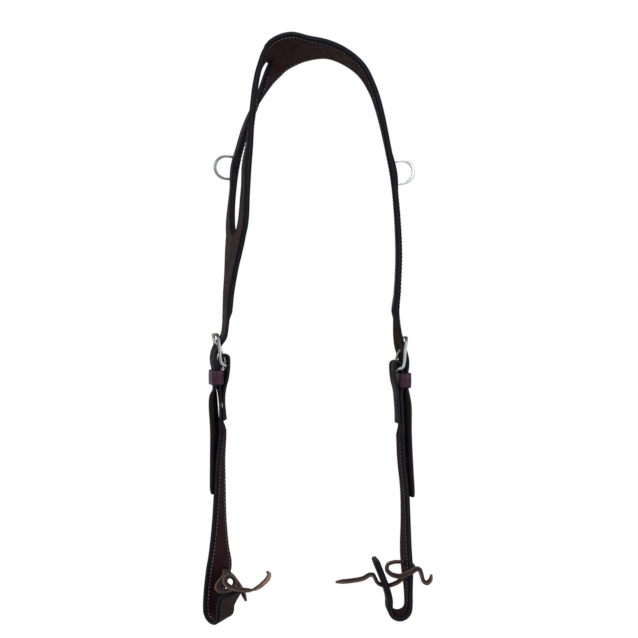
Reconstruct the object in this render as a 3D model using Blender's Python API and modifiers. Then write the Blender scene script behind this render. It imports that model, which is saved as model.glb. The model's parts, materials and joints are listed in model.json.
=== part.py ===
"""Western split-ear headstall, hanging as it does over a horse's poll.

One wide crown strap runs over the poll, split for one ear on the left, and narrows to a billet at each end.
Each billet passes through the buckle of a cheek strap, which ends in a bit loop closed by a leather lace.
The frame's origin is the underside of the crown, +Z is up, and -Y is the edge towards the horse's brow.
"""

import copy
import math

import bmesh
import bpy
import numpy as np
from mathutils import Matrix, Vector

# The head that the headstall goes over
head_half_breadth = 0.075
crown_drop = 0.264

# Leather
crown_ply = 0.0028
crown_lining_ply = 0.0020
cheek_ply = 0.0026
cheek_lining_ply = 0.0016
gap = 0.0003
cheek_lining_gap = 0.00045
edge_round = 0.0006
billet_width = 0.016
ear_width = 0.054
crown_width = 0.046
strap_step = 0.009
turn_step = math.radians(20)

# Ear slot, cut lengthwise in the crown strap
ear_slot_width = 0.020
ear_slot_end_width = 0.0022
ear_slot_top_drop = 0.007
ear_slot_bottom_drop = 0.152

# Lining of the crown strap, which stops above each buckle
lining_end_drop = 0.2245
lining_fade = 0.022

# Buckle frame: a dropped heel bar, two sides and a toe bar, all one wire
buckle_wire = 0.0026
buckle_side_gap = 0.00105
toe_rise = 0.0261
toe_out = 0.0071
frame_corner = 0.0042
buckle_lean = (math.radians(-15), math.radians(10))
heel_out = (0.0709, 0.0734)
heel_drop = (0.2639, 0.2664)

# Buckle tongue, a wire wrapped round the heel bar and resting on the toe bar
tongue_wire = 0.0020
tongue_overhang = 0.0008
tongue_side_clearance = 0.0006

# Chape: the top of the cheek strap, folded over the heel bar and sewn down
fold_rise = (0.0060, 0.0031)
chape_length = 0.046
turned_gap = 0.0008

# Keeper, sewn into the chape
keeper_wall = 0.0018
keeper_corner = 0.00162
keeper_height = 0.0127
keeper_drop = 0.0034
keeper_step = 0.0021
keeper_side_clearance = 0.0004

# Billet tail and its punched holes
tail_length = 0.108
tail_stand_off = 0.0037
tail_twist = math.radians(14)
billet_twist = (math.radians(-6), math.radians(17))
tongue_hole_length = 0.0092
tongue_hole_width = 0.0034
spare_hole = 0.0032
spare_hole_pitch = 0.0254
spare_holes = 3

# Dee rings, whose bars lie between the plies
dee_wire = 0.0025
dee_height = 0.0215
dee_reach = 0.0173
dee_corner = 0.00175
dee_drop = (0.0970, 0.1027)
dee_swing = math.radians(20)
dee_clearance = 0.0003
dee_bulge = 0.0014
dee_bulge_length = 0.017
ear_dee_share = 0.62

# Cheek strap and its bit loop
cheek_drop = (0.2032, 0.1989)
cheek_stand_off = 0.010
paddle_width = 0.026
bit_loop_width = 0.0165
bit_loop_radius = 0.0093
bit_loop_out = (0.0039, 0.0025)
bit_loop_depth = (-0.004, 0.0)
bit_loop_lean = (math.radians(47), math.radians(6))
bit_loop_tilt = (math.radians(20), math.radians(15))
flap_rise = (0.0135, 0.0395)
flap_flare = (0.0075, 0.0117)
flap_width = 0.022

# Tie lace and the slits that it is threaded through
lace_width = 0.0044
lace_tip_width = 0.00154
lace_thickness = 0.0021
lace_step = 0.00396
lace_clearance = 0.0006
lace_reach = 0.050
lace_out = (0.0001, 0.0018)
lace_depth = (-0.004, 0.0)
lace_drop = (0.2065, 0.2004)

# Cutters: how far past a face they go, and a turn that keeps their corners off the straps' edges
overrun = 0.004
cutter_turn = math.radians(7)
SIDES = ("left", "right")


def clear_scene():
    for old in list(bpy.data.objects):
        bpy.data.objects.remove(old, do_unlink=True)


def new_collection(name):
    collection = bpy.data.collections.new(name)
    bpy.context.scene.collection.children.link(collection)
    return collection


def finish(name, colour, roughness, metallic=0.0):
    """A plain material."""
    material = bpy.data.materials.new(name)
    material.use_nodes = True
    shader = material.node_tree.nodes["Principled BSDF"]
    shader.inputs["Base Color"].default_value = (*colour, 1)
    shader.inputs["Roughness"].default_value = roughness
    shader.inputs["Metallic"].default_value = metallic
    return material


def outward(side):
    """-1 for the left side, which lies towards -X, and 1 for the right."""
    return -1 if side == "left" else 1


def of_side(values, side):
    return values[SIDES.index(side)]


def width_way(side, lean):
    """Across a hanging strap, from its near edge to its far edge."""
    return Vector((-outward(side) * math.sin(lean), math.cos(lean), 0))


def outward_way(side, lean):
    """Away from the head, square to the strap."""
    return Vector((outward(side) * math.cos(lean), math.sin(lean), 0))


def heel_point(side):
    """The middle of the buckle's heel bar."""
    return Vector((outward(side) * of_side(heel_out, side), 0, -of_side(heel_drop, side)))


def at_buckle(side, out, drop, across=0):
    """A point given from the middle of the heel bar."""
    lean = of_side(buckle_lean, side)
    along = across * width_way(side, lean)
    return heel_point(side) + out * outward_way(side, lean) + along - Vector((0, 0, drop))


def loop_centre(side):
    out = outward(side) * of_side(bit_loop_out, side)
    return heel_point(side) + Vector((out, of_side(bit_loop_depth, side), -of_side(cheek_drop, side)))


def at_loop(side, inwards, across, rise):
    """A point given from the centre of the bit loop."""
    lean = of_side(bit_loop_lean, side)
    return (
        loop_centre(side)
        - inwards * outward_way(side, lean)
        + across * width_way(side, lean)
        + Vector((0, 0, rise))
    )


def at_lace(side, inwards, across, rise):
    """A point given, as shares of lace_reach, from the place that the lace's knot is round."""
    lean = of_side(bit_loop_lean, side)
    out = outward(side) * of_side(lace_out, side)
    centre = heel_point(side) + Vector((out, of_side(lace_depth, side), -of_side(lace_drop, side)))
    place = across * width_way(side, lean) - inwards * outward_way(side, lean) + Vector((0, 0, rise))
    return centre + lace_reach * place


def through(rows, per_row):
    """A smooth curve through rows of numbers, as a denser array of rows."""
    rows = np.array(rows, float)
    ends = np.vstack([2 * rows[0] - rows[1], rows, 2 * rows[-1] - rows[-2]])
    knots = np.concatenate([[0], np.cumsum(np.sqrt(np.linalg.norm(np.diff(ends[:, :3], axis=0), axis=1)))])
    made = []
    for i in range(1, len(ends) - 2):
        a, b, c, d = ends[i - 1 : i + 3]
        ta, tb, tc, td = knots[i - 1 : i + 3]
        for t in np.linspace(tb, tc, per_row, endpoint=False):
            ab = a + (b - a) * (t - ta) / (tb - ta)
            bc = b + (c - b) * (t - tb) / (tc - tb)
            cd = c + (d - c) * (t - tc) / (td - tc)
            abc = ab + (bc - ab) * (t - ta) / (tc - ta)
            bcd = bc + (cd - bc) * (t - tb) / (td - tb)
            made.append(abc + (bcd - abc) * (t - tb) / (tc - tb))
    made.append(rows[-1])
    return np.array(made)


def stations(rows, step, turn, kept_rows=()):
    """The rows of a route where its strap gets a station: one each step, and more where it bends.

    Along kept_rows the stations are those rows themselves.
    """
    fine_steps = 40
    fine = through(rows, fine_steps)
    kept, travelled, turned = [0], 0, 0
    ways = np.diff(fine[:, :3], axis=0)
    lengths = np.linalg.norm(ways, axis=1)
    ways = ways / lengths[:, None]
    for i in range(1, len(ways)):
        travelled += lengths[i - 1]
        turned += math.acos(min(1, float(ways[i] @ ways[i - 1])))
        row, rest = divmod(i, fine_steps)
        if row in kept_rows and row + 1 in kept_rows or row in kept_rows and not rest:
            wanted = not rest
            if wanted and row - 1 not in kept_rows and travelled < step / 3:
                kept.pop()
        else:
            wanted = travelled >= step or turned >= turn
        if wanted:
            kept.append(i)
            travelled, turned = 0, 0
    if travelled < step / 3:
        kept.pop()
    return fine[kept + [len(fine) - 1]]


def directions(points):
    """The direction of travel at each point."""
    ways = np.gradient(points, axis=0)
    return ways / np.linalg.norm(ways, axis=1)[:, None]


class Strap:
    """A strap's middle line with, at each station, its width and the ways across its two halves."""

    def __init__(self, centres, across, widths, turn_over=1):
        self.centres = centres
        self.ways = directions(centres)
        self.turn_over = turn_over
        self.widths = widths
        self.lift = np.zeros(len(centres))
        self.slot = np.zeros(len(centres))
        self.slant = np.zeros(len(centres))
        self.across = self.near = self.far = self.square(across)

    def square(self, across):
        level = across - np.sum(across * self.ways, axis=1)[:, None] * self.ways
        return level / np.linalg.norm(level, axis=1)[:, None]

    def part(self, first, last):
        piece = copy.copy(self)
        for name in ("centres", "ways", "widths", "lift", "slot", "slant", "across", "near", "far"):
            setattr(piece, name, getattr(self, name)[first:last].copy())
        return piece

    def out(self, i):
        return Vector(self.turn_over * np.cross(self.ways[i], self.across[i]))

    def half_way(self, i, share):
        """The way across the half of the strap that a share of the width lies in."""
        return self.near[i] if share < 0 else self.far[i]

    def flat(self, i, share):
        """A point beside the middle line, at a share of the width from it."""
        beside = min(max(share, -self.slot[i]), self.slot[i])
        aside = self.across[i] * beside + self.half_way(i, share) * (share - beside)
        return self.centres[i] + (aside + self.ways[i] * (share * self.slant[i])) * self.widths[i]

    def point(self, i, share, height):
        """A point at a share of the width from the middle, at a height over the strap's own surface there."""
        ahead, behind = min(i + 1, len(self.centres) - 1), max(i - 1, 0)
        along = self.flat(ahead, share) - self.flat(behind, share)
        out = self.turn_over * np.cross(along, self.half_way(i, share))
        return self.flat(i, share) + out / np.linalg.norm(out) * (height + self.lift[i])

    def at_drop(self, drop, side):
        """The strap between two stations: a whole station, how far past it, on one side of the head."""
        drops = -self.centres[:, 2]
        for i in range(len(drops) - 1):
            crossed = min(drops[i], drops[i + 1]) <= drop < max(drops[i], drops[i + 1])
            if crossed and self.centres[i][0] * outward(side) > 0:
                return i, (drop - drops[i]) / (drops[i + 1] - drops[i])
        raise ValueError("the strap doesn't reach that drop")

    def nearest(self, point):
        return int(np.argmin(np.linalg.norm(self.centres - np.array(point), axis=1)))

    def lengths(self):
        return np.concatenate([[0], np.cumsum(np.linalg.norm(np.diff(self.centres, axis=0), axis=1))])


def add_mesh(name, mesh, collection, material):
    thing = bpy.data.objects.new(name, mesh)
    collection.objects.link(thing)
    mesh.materials.append(material)
    return thing


def sheet_mesh(name, rows, skipped=()):
    """A sheet through rows of points, all of one length. A skipped (row, column) is left open.

    Every plate of it is split the same way, so that plies over one another stay parallel where they twist.
    """
    grid = bmesh.new()
    points = [[grid.verts.new(p) for p in row] for row in rows]
    for i in range(len(rows) - 1):
        for j in range(len(rows[0]) - 1):
            if (i, j) in skipped:
                continue
            grid.faces.new((points[i][j], points[i][j + 1], points[i + 1][j + 1]))
            grid.faces.new((points[i][j], points[i + 1][j + 1], points[i + 1][j]))
    bmesh.ops.recalc_face_normals(grid, faces=grid.faces)
    mesh = bpy.data.meshes.new(name)
    grid.to_mesh(mesh)
    grid.free()
    return mesh


def thicken(thing, thickness, rounding=edge_round):
    """Gives a sheet its thickness, equally to both sides, and rounds its edges."""
    solid = thing.modifiers.new("ply", "SOLIDIFY")
    solid.thickness = thickness
    solid.offset = 0
    solid.use_even_offset = True
    if rounding:
        rounded = thing.modifiers.new("edges", "BEVEL")
        rounded.width = rounding
        rounded.segments = 1
        rounded.limit_method = "ANGLE"
        rounded.angle_limit = math.radians(60)


def ply(name, strap, height, thickness, shares, collection, material, skipped=()):
    """One ply of leather, at a height over the strap's middle line. shares are its columns across the width."""
    rows = []
    for i in range(len(strap.centres)):
        columns = shares[i] if isinstance(shares[0], (list, tuple)) else shares
        rows.append([strap.point(i, share, height) for share in columns])
    thing = add_mesh(name, sheet_mesh(name, rows, skipped), collection, material)
    thicken(thing, thickness)
    return thing


def cutter_box(name, middle, along, across, out, size, collection):
    """A box cutter with its sides along three ways square to each other."""
    block = bmesh.new()
    turn = Matrix((along, across, out)).transposed().to_4x4()
    scale = Matrix.Diagonal((*size, 1))
    bmesh.ops.create_cube(block, size=1, matrix=Matrix.Translation(middle) @ turn @ scale)
    bmesh.ops.recalc_face_normals(block, faces=block.faces)
    mesh = bpy.data.meshes.new(name)
    block.to_mesh(mesh)
    block.free()
    return hide_cutter(name, mesh, collection)


def cutter_rod(name, middle, axis, radius, length, collection, stretch_way=None, stretch=0):
    """A round cutter, or an oval one where it is stretched along a way."""
    rod = bmesh.new()
    bmesh.ops.create_cone(rod, cap_ends=True, segments=16, radius1=radius, radius2=radius, depth=length)
    turn = Vector(axis).to_track_quat("Z", "Y").to_matrix().to_4x4() @ Matrix.Rotation(cutter_turn, 4, "Z")
    bmesh.ops.transform(rod, matrix=Matrix.Translation(middle) @ turn, verts=rod.verts)
    if stretch_way is not None:
        for vert in rod.verts:
            side = (vert.co - Vector(middle)).dot(stretch_way)
            vert.co += stretch_way * math.copysign(stretch / 2, side)
    bmesh.ops.recalc_face_normals(rod, faces=rod.faces)
    mesh = bpy.data.meshes.new(name)
    rod.to_mesh(mesh)
    rod.free()
    return hide_cutter(name, mesh, collection)


def hide_cutter(name, mesh, collection):
    thing = bpy.data.objects.new(name, mesh)
    collection.objects.link(thing)
    thing.hide_render = True
    thing.display_type = "WIRE"
    return thing


def cut(thing, cutter):
    hole = thing.modifiers.new(cutter.name, "BOOLEAN")
    hole.operation = "DIFFERENCE"
    hole.object = cutter
    hole.solver = "EXACT"


def wire(name, points, thickness, collection, material, closed=False, radii=None, origin=None):
    """A bent wire with its origin on the joint that it turns about."""
    origin = Vector(origin) if origin is not None else Vector((0, 0, 0))
    curve = bpy.data.curves.new(name, "CURVE")
    curve.dimensions = "3D"
    curve.bevel_depth = thickness / 2
    curve.bevel_resolution = 2
    curve.use_fill_caps = not closed
    spline = curve.splines.new("POLY")
    spline.points.add(len(points) - 1)
    for i, point in enumerate(points):
        spline.points[i].co = (*(Vector(point) - origin), 1)
        spline.points[i].radius = radii[i] if radii else 1
    spline.use_cyclic_u = closed
    curve.materials.append(material)
    thing = bpy.data.objects.new(name, curve)
    thing.location = origin
    collection.objects.link(thing)
    return thing


def rounded_corners(corners, radius, steps, rounded=None):
    """A closed line through corners, each of them rounded by a small curve, or only those in rounded."""
    made = []
    for i, corner in enumerate(corners):
        if rounded is not None and i not in rounded:
            made.append(corner)
            continue
        before, after = corners[i - 1], corners[(i + 1) % len(corners)]
        start = corner + (before - corner).normalized() * min(radius, (before - corner).length / 2)
        end = corner + (after - corner).normalized() * min(radius, (after - corner).length / 2)
        for k in range(steps + 1):
            t = k / steps
            made.append(start * (1 - t) ** 2 + corner * 2 * t * (1 - t) + end * t**2)
    kept = [made[0]]
    for point in made[1:]:
        if (point - kept[-1]).length > radius / 20:
            kept.append(point)
    if (kept[0] - kept[-1]).length < radius / 20:
        kept.pop()
    return kept


# Places in the buckle, out from the heel bar's axis
bar_radius = buckle_wire / 2
front_at_bar = bar_radius + gap + cheek_ply / 2
front_at_keeper = front_at_bar + keeper_step
keeper_inside = front_at_keeper - cheek_ply / 2 - gap
turned_at_keeper = keeper_inside - keeper_wall - gap - cheek_ply / 2
on_cheek = cheek_ply / 2 + gap + crown_ply / 2
billet_at_keeper = front_at_keeper + on_cheek
keeper_outside = billet_at_keeper + crown_ply / 2 + gap
billet_under_toe = toe_out - bar_radius - gap - crown_ply / 2
keeper_bottom = keeper_drop + keeper_height

# The crown's route over the head, by the ear and then beyond it: place across, height,
# width as a share of ear_width or of crown_width, and the lean in degrees
# of its near half, of the slot between the halves and of its far half
ear_route_shares = (
    (-0.916, -0.828, 0.315, -20, -20, -20),
    (-0.864, -0.698, 0.426, -25, -25, -25),
    (-0.814, -0.573, 0.80, -23, -36, -19),
    (-0.786, -0.450, 1.0, -16, -31, -9),
    (-0.719, -0.315, 1.0, -11, -21, -14),
    (-0.608, -0.184, 0.967, 0, -2, -13),
    (-0.494, -0.049, 0.954, -3, 27, 26),
    (-0.380, -0.0135, 0.875, 18, 25, 32),
    (-0.186, 0.005, 0.852, 25, 25, 22),
)
crown_route_shares = (
    (0.000, 0.0098, 0.98, 12, 12, 12),
    (0.215, 0.006, 0.90, 6, 6, 6),
    (0.412, -0.017, 0.82, 5, 5, 5),
    (0.593, -0.058, 0.73, 4, 4, 4),
    (0.711, -0.115, 0.63, 2, 2, 2),
    (0.787, -0.176, 0.56, 1, 1, 1),
    (0.890, -0.305, 0.44, -1, -1, -1),
    (0.966, -0.434, 0.40, -3, -3, -3),
    (1.012, -0.629, 0.35, 0, 0, 0),
    (0.998, -0.759, 0.35, 1, 1, 1),
    (0.985, -0.825, 0.35, 6, 6, 6),
)

# How full the ear slot's outline and the bulge over a dee's bar are: 1 is a sine, less is fuller
slot_swell_share = 0.41
bulge_swell_share = 0.6
# The half width of a billet's blunt end, as a share of its width
tip_share = 0.26

# The tail beside the cheek strap: share of tail_length, of tail_stand_off and of tail_twist
tail_shares = {
    "left": ((1.0, 0.12, 0), (0.73, 0.30, 0.3), (0.50, 0.72, 0.9), (0.28, 0.78, 0.7)),
    "right": ((1.0, 0.43, 0), (0.73, 0.60, 0.2), (0.50, 0.56, 0.4), (0.28, 0.80, 0.5)),
}
# The billet inside the frame: share of toe_rise, of its place at the keeper and of billet_twist
billet_rise_shares = {
    "left": ((0.06, 1.12, 0.25), (0.24, 1.13, 0.7), (0.46, 0.98, 1.0), (0.72, 0.55, 0.95)),
    "right": ((0.06, 1.03, 0.25), (0.24, 0.93, 0.7), (0.46, 0.72, 1.0), (0.72, 0.45, 0.95)),
}
# The billet at and above the toe bar: share of toe_rise, of its place under that bar and of billet_twist
billet_toe_shares = {
    "left": ((0.93, 0.10, 0.7), (1.18, -0.25, 0.4)),
    "right": ((0.93, 0.58, 0.7), (1.18, 0.34, 0.4)),
}
# Where the tongue crosses the billet: share of toe_rise and of the billet's place at the keeper
tongue_hole_shares = ((0.663, 0.656), (0.625, 0.5625))


def billet_rows(side):
    """The billet from its tail, over the heel bar and through the frame, up to the crown's route.

    With the rows come the numbers of those in the keeper.
    """
    lean = math.degrees(of_side(buckle_lean, side))
    twist = math.degrees(of_side(billet_twist, side))
    rows = []
    for length_share, off_share, twist_share in tail_shares[side]:
        point, turn = beside_front(side, tail_length * length_share, tail_stand_off * off_share + on_cheek)
        rows.append((*point, turn + math.degrees(tail_twist) * twist_share))
    first = len(rows)
    for drop in (keeper_bottom, (keeper_bottom + keeper_drop) / 2, keeper_drop):
        rows.append((*at_buckle(side, billet_at_keeper, drop), lean))
    last = len(rows)
    for rise_share, out_share, twist_share in billet_rise_shares[side]:
        place = at_buckle(side, billet_at_keeper * out_share, -toe_rise * rise_share)
        rows.append((*place, lean + twist * twist_share))
    for rise_share, out_share, twist_share in billet_toe_shares[side]:
        place = at_buckle(side, billet_under_toe * out_share, -toe_rise * rise_share)
        rows.append((*place, lean + twist * twist_share))
    return [(*row[:3], billet_width, row[3], row[3], row[3]) for row in rows], list(range(first, last))


def crown_strap_line():
    """The middle line of the crown strap, from the left tail to the right one.

    It runs between the outer ply and the lining, and in the middle of the outer ply once that is alone.
    """
    over = [
        (x * head_half_breadth, 0, z * crown_drop, width_share * width, *leans)
        for route, width in ((ear_route_shares, ear_width), (crown_route_shares, crown_width))
        for x, z, width_share, *leans in route
    ]
    left, in_left_keeper = billet_rows("left")
    right, in_right_keeper = billet_rows("right")
    rows = left + over + right[::-1]
    kept_rows = in_left_keeper + [len(rows) - 1 - row for row in in_right_keeper]
    made = stations(rows, strap_step, turn_step / 2, kept_rows)
    centres = made[:, :3]
    ways = directions(centres)
    level = np.array((0, 1, 0)) - ways * ways[:, 1:2]
    level = level / np.linalg.norm(level, axis=1)[:, None]
    up = np.cross(ways, level)
    near, between, far = (
        level * np.cos(lean)[:, None] - up * np.sin(lean)[:, None] for lean in np.radians(made[:, 4:7].T)
    )
    strap = Strap(centres, between, made[:, 3])
    strap.near, strap.far = strap.square(near), strap.square(far)
    return strap


def lined_share(drop):
    """1 where the crown strap has its lining, fading to 0 towards the lining's end."""
    return min(1, max(0, (lining_end_drop - drop) / lining_fade))


def open_ear_slot(strap):
    """Sets the slot's half width at each station, as a share of the strap's width, and returns its stations."""
    drops = -strap.centres[:, 2]
    open_rows = [
        i
        for i, centre in enumerate(strap.centres)
        if centre[0] < 0 and ear_slot_top_drop < drops[i] < ear_slot_bottom_drop
    ]
    first, last = open_rows[0], open_rows[-1]
    lengths = strap.lengths()
    for i, width in enumerate(strap.widths):
        t = min(1, max(0, (lengths[i] - lengths[first]) / (lengths[last] - lengths[first])))
        swell = math.sin(math.pi * t) ** slot_swell_share if first < i < last else 0
        slot = ear_slot_end_width + (ear_slot_width - ear_slot_end_width) * swell
        strap.slot[i] = slot / width / 2
    return range(first, last)


def tip_rows(strap, first, last):
    """Shares that narrow a ply's two ends to a blunt point."""
    shares = [0.5] * len(strap.centres)
    for row in (first, last):
        shares[row] = tip_share
    return shares


def make_crown(parts, cutters, leather, lining_leather):
    strap = crown_strap_line()
    slot_rows = open_ear_slot(strap)
    base = (crown_lining_ply + gap) / 2
    strap.lift = np.array([base * lined_share(-centre[2]) for centre in strap.centres])
    ends = tip_rows(strap, 0, len(strap.centres) - 1)
    shares = [(-end, -slot, slot, end) for end, slot in zip(ends, strap.slot)]
    over_buckles = [i for i, c in enumerate(strap.centres) if -c[2] < lining_end_drop]
    first, last = over_buckles[0], over_buckles[-1] + 1
    under = strap.part(first, last)
    for end in (0, -1):
        lacking = (lining_end_drop + under.centres[end][2]) / under.ways[end][2]
        under.centres[end] -= under.ways[end] * lacking
        under.lift[end] = 0
    height = -(crown_ply + crown_lining_ply) / 2 - gap
    skipped = {(i - first, 1) for i in slot_rows}
    lining = ply(
        "crown_lining", under, height, crown_lining_ply, shares[first:last], parts, lining_leather, skipped
    )
    for side in SIDES:
        lengths = strap.lengths()
        i, past = strap.at_drop(of_side(dee_drop, side), side)
        place = lengths[i] + past * (lengths[i + 1] - lengths[i])
        reaches = (lengths - place) / dee_bulge_length
        swell = 0.5 + 0.5 * np.cos(math.pi * np.clip(reaches, -1, 1))
        strap.lift += dee_bulge * swell**bulge_swell_share
    skipped = {(i, 1) for i in slot_rows}
    outer = ply("crown_strap", strap, 0, crown_ply, shares, parts, leather, skipped)
    for side in SIDES:
        punch_billet(outer, side, strap, cutters)
    return strap, outer, lining


def punch_billet(outer, side, strap, cutters):
    """The oval hole that the tongue is through, and the spare holes down the tail."""
    rise_share, out_share = of_side(tongue_hole_shares, side)
    crossing = at_buckle(side, billet_at_keeper * out_share, -toe_rise * rise_share)
    row = strap.nearest(crossing)
    way, out = Vector(strap.ways[row]), outward_way(side, of_side(buckle_lean, side))
    out = (out - out.dot(way) * way).normalized()
    oval = tongue_hole_length - tongue_hole_width
    name = f"tongue_hole_cutter_{side}"
    cut(outer, cutter_rod(name, crossing, out, tongue_hole_width / 2, overrun * 2, cutters, way, oval))
    lengths = strap.lengths()
    towards_tail = -1 if side == "left" else 1
    for k in range(spare_holes):
        place = lengths[row] + towards_tail * spare_hole_pitch * (k + 2)
        row_here = int(np.argmin(np.abs(lengths - place)))
        middle, out = Vector(strap.centres[row_here]), strap.out(row_here)
        name = f"spare_hole_cutter_{side}_{k + 1}"
        cut(outer, cutter_rod(name, middle, out, spare_hole / 2, crown_ply + overrun / 2, cutters))


def dee_frame(strap, side):
    """The middle of a dee's bar, with the ways along it, across the strap and out."""
    i, past = strap.at_drop(of_side(dee_drop, side), side)
    share = strap.slot[i] + (0.5 - strap.slot[i]) * ear_dee_share if side == "left" else 0
    height = -crown_ply / 2 - gap / 2 - dee_bulge / 2
    ends = [Vector(strap.point(k, share, height)) for k in (i, i + 1)]
    middle = ends[0].lerp(ends[1], past)
    down = (ends[1] - ends[0]).normalized() * outward(side)
    across = Vector(strap.far[i]).lerp(Vector(strap.far[i + 1]), past)
    across = (across - across.dot(down) * down).normalized()
    out = across.cross(down) * outward(side) * -1
    return middle, down, across, out


def make_dee(strap, side, outer, lining, parts, cutters, steel):
    middle, down, across, out = dee_frame(strap, side)
    half = (dee_height - dee_wire) / 2
    straight = dee_reach - half
    line = [middle - down * half, middle + down * half]
    for k in range(11):
        angle = math.pi * k / 10
        line.append(middle + down * half * math.cos(angle) + out * (straight + half * math.sin(angle)))
    ring = rounded_corners(line, dee_corner, 3, rounded=(0, 1))
    wire(f"dee_{side}", ring, dee_wire, parts, steel, closed=True, origin=middle)

    round_bar = dee_wire / 2 + dee_clearance
    channel_length = dee_height + 4 * dee_clearance
    channel = cutter_rod(f"dee_bar_cutter_{side}", middle, down, round_bar, channel_length, cutters)
    cut(outer, channel)
    cut(lining, channel)
    reach = crown_ply + dee_wire
    slit = 2 * (round_bar + math.tan(dee_swing) * (crown_ply + gap + dee_bulge / 2))
    for end in (-1, 1):
        at = middle + down * half * end + out * reach / 2
        size = (2 * round_bar, slit, reach)
        name = f"dee_slit_cutter_{side}_{'top' if end < 0 else 'bottom'}"
        cut(outer, cutter_box(name, at, down, across, out, size, cutters))


# The cheek strap below its keeper: share of its drop, share of its stand-off, lean in degrees,
# share of paddle_width and share of the loop's depth
cheek_route_shares = {
    "left": (
        (0.107, 0.37, -10, 0.615, 0),
        (0.149, 0.31, -6, 0.615, 0),
        (0.262, 0.21, 5, 0.615, 0),
        (0.383, 0.38, 14, 0.615, 0),
        (0.508, 0.43, 22, 0.63, 0),
        (0.630, 0.47, 27, 0.71, 0),
        (0.751, 0.48, 37, 0.86, 0.1),
        (0.833, 0.48, 47, 1.0, 0.3),
        (0.906, 0.80, 47, 0.87, 0.75),
    ),
    "right": (
        (0.172, 0.42, 7, 0.615, 0),
        (0.260, 0.49, 11, 0.615, 0),
        (0.384, 0.60, 12, 0.615, 0),
        (0.509, 0.85, 12, 0.63, 0),
        (0.634, 0.93, 12, 0.71, 0),
        (0.758, 0.95, 14, 0.86, 0),
        (0.853, 1.06, 11, 1.0, 0.3),
        (0.930, 1.15, 7, 0.84, 0.8),
    ),
}
# The flap above the bit loop: share of its rise, of its flare and of its width
flap_shares = ((0.15, 0.0, 0.82), (0.39, 0.21, 0.86), (0.65, 0.54, 0.93), (0.90, 0.88, 1.0), (1.0, 1.0, 0.94))
# How much longer the flap's far edge is than its middle, as a share of the way across
flap_slant_shares = (0.30, 0.0)
# The strap's width where the bit loop starts, as a share of paddle_width
loop_start_share = 0.75
# The chape's turned ply: its rows below the keeper, as shares of chape_length, then those behind the keeper,
# as shares of the fold's place behind the heel bar and of the drop to the keeper's lower edge
turned_length_shares = (1.0, 0.84, 0.68, 0.53)
turned_shares = ((-0.15, 1.16), (0.66, 0.58), (0.97, 0.08))


def front_rows(side):
    """The cheek strap's outer ply from the keeper down to the bit loop."""
    lean = math.degrees(of_side(buckle_lean, side))
    rows = [
        (*at_buckle(side, front_at_keeper, drop), lean, billet_width)
        for drop in (keeper_drop, keeper_bottom)
    ]
    drop, loop_lean = of_side(cheek_drop, side), of_side(bit_loop_lean, side)
    leg_depth = of_side(bit_loop_depth, side) + bit_loop_radius * math.sin(loop_lean)
    for drop_share, out_share, turn, width_share, depth_share in cheek_route_shares[side]:
        out = outward(side) * cheek_stand_off * out_share
        place = heel_point(side) + Vector((out, leg_depth * depth_share, -drop * drop_share))
        rows.append((*place, turn, paddle_width * width_share))
    return rows


def beside_front(side, drop, offset):
    """A point out from the middle of the cheek strap's outer ply, and the lean there in degrees."""
    path = through(front_rows(side), 12)
    height = heel_point(side).z - drop
    x, y, lean = (np.interp(-height, -path[:, 2], path[:, column]) for column in (0, 1, 3))
    return Vector((x, y, height)) + offset * outward_way(side, math.radians(lean)), lean


def cheek_rows(side):
    """The cheek strap's outer ply: up the turned chape, over the heel bar and down to the bit loop's flap.

    With the rows come the numbers of those in the keeper and round the bit loop.
    """
    lean = math.degrees(of_side(buckle_lean, side))
    rows = []
    for length_share in turned_length_shares:
        point, turn = beside_front(side, chape_length * length_share, -cheek_ply - turned_gap)
        rows.append((*point, turn, billet_width))
    for out_share, drop_share in turned_shares:
        place = at_buckle(side, -front_at_bar * out_share, keeper_bottom * drop_share)
        rows.append((*place, lean, billet_width))
    for k in range(7):
        angle = math.pi * k / 6
        out, rise = -front_at_bar * math.cos(angle), of_side(fold_rise, side) + front_at_bar * math.sin(angle)
        rows.append((*at_buckle(side, out, -rise), lean, billet_width))
    rows.append((*at_buckle(side, front_at_bar, -bar_radius), lean, billet_width))
    in_keeper = [len(rows), len(rows) + 1]
    rows += front_rows(side)
    loop_lean = math.degrees(of_side(bit_loop_lean, side))
    first = len(rows)
    for k in range(10):
        angle = math.pi * k / 9
        inwards, drop = -bit_loop_radius * math.cos(angle), bit_loop_radius * math.sin(angle)
        beside = paddle_width * loop_start_share if k < 5 else flap_width * flap_shares[0][2]
        width = bit_loop_width + (beside - bit_loop_width) * math.cos(angle) ** 2
        rows.append((*at_loop(side, inwards, 0, -drop), loop_lean, width))
    last = len(rows)
    rise, flare = of_side(flap_rise, side), of_side(flap_flare, side)
    for rise_share, flare_share, width_share in flap_shares:
        point = at_loop(side, bit_loop_radius + flare * flare_share, 0, rise * rise_share)
        rows.append((*point, loop_lean, flap_width * width_share))
    return rows, in_keeper + list(range(first, last))


def cheek_line(side):
    rows, kept_rows = cheek_rows(side)
    made = stations(rows, strap_step, turn_step, kept_rows)
    across = np.array([width_way(side, lean) for lean in np.radians(made[:, 3])])
    below = np.clip((loop_centre(side).z - made[:, 2]) / bit_loop_radius, 0, 1)
    across[:, 2] += below * math.tan(of_side(bit_loop_tilt, side))
    strap = Strap(made[:, :3], across, made[:, 4], turn_over=-1 if side == "left" else 1)
    lengths, rise = strap.lengths(), of_side(flap_rise, side)
    up_flap = np.clip((lengths - lengths[-1] + rise) / rise, 0, 1)
    strap.slant = of_side(flap_slant_shares, side) * up_flap**1.3
    return strap


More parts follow.
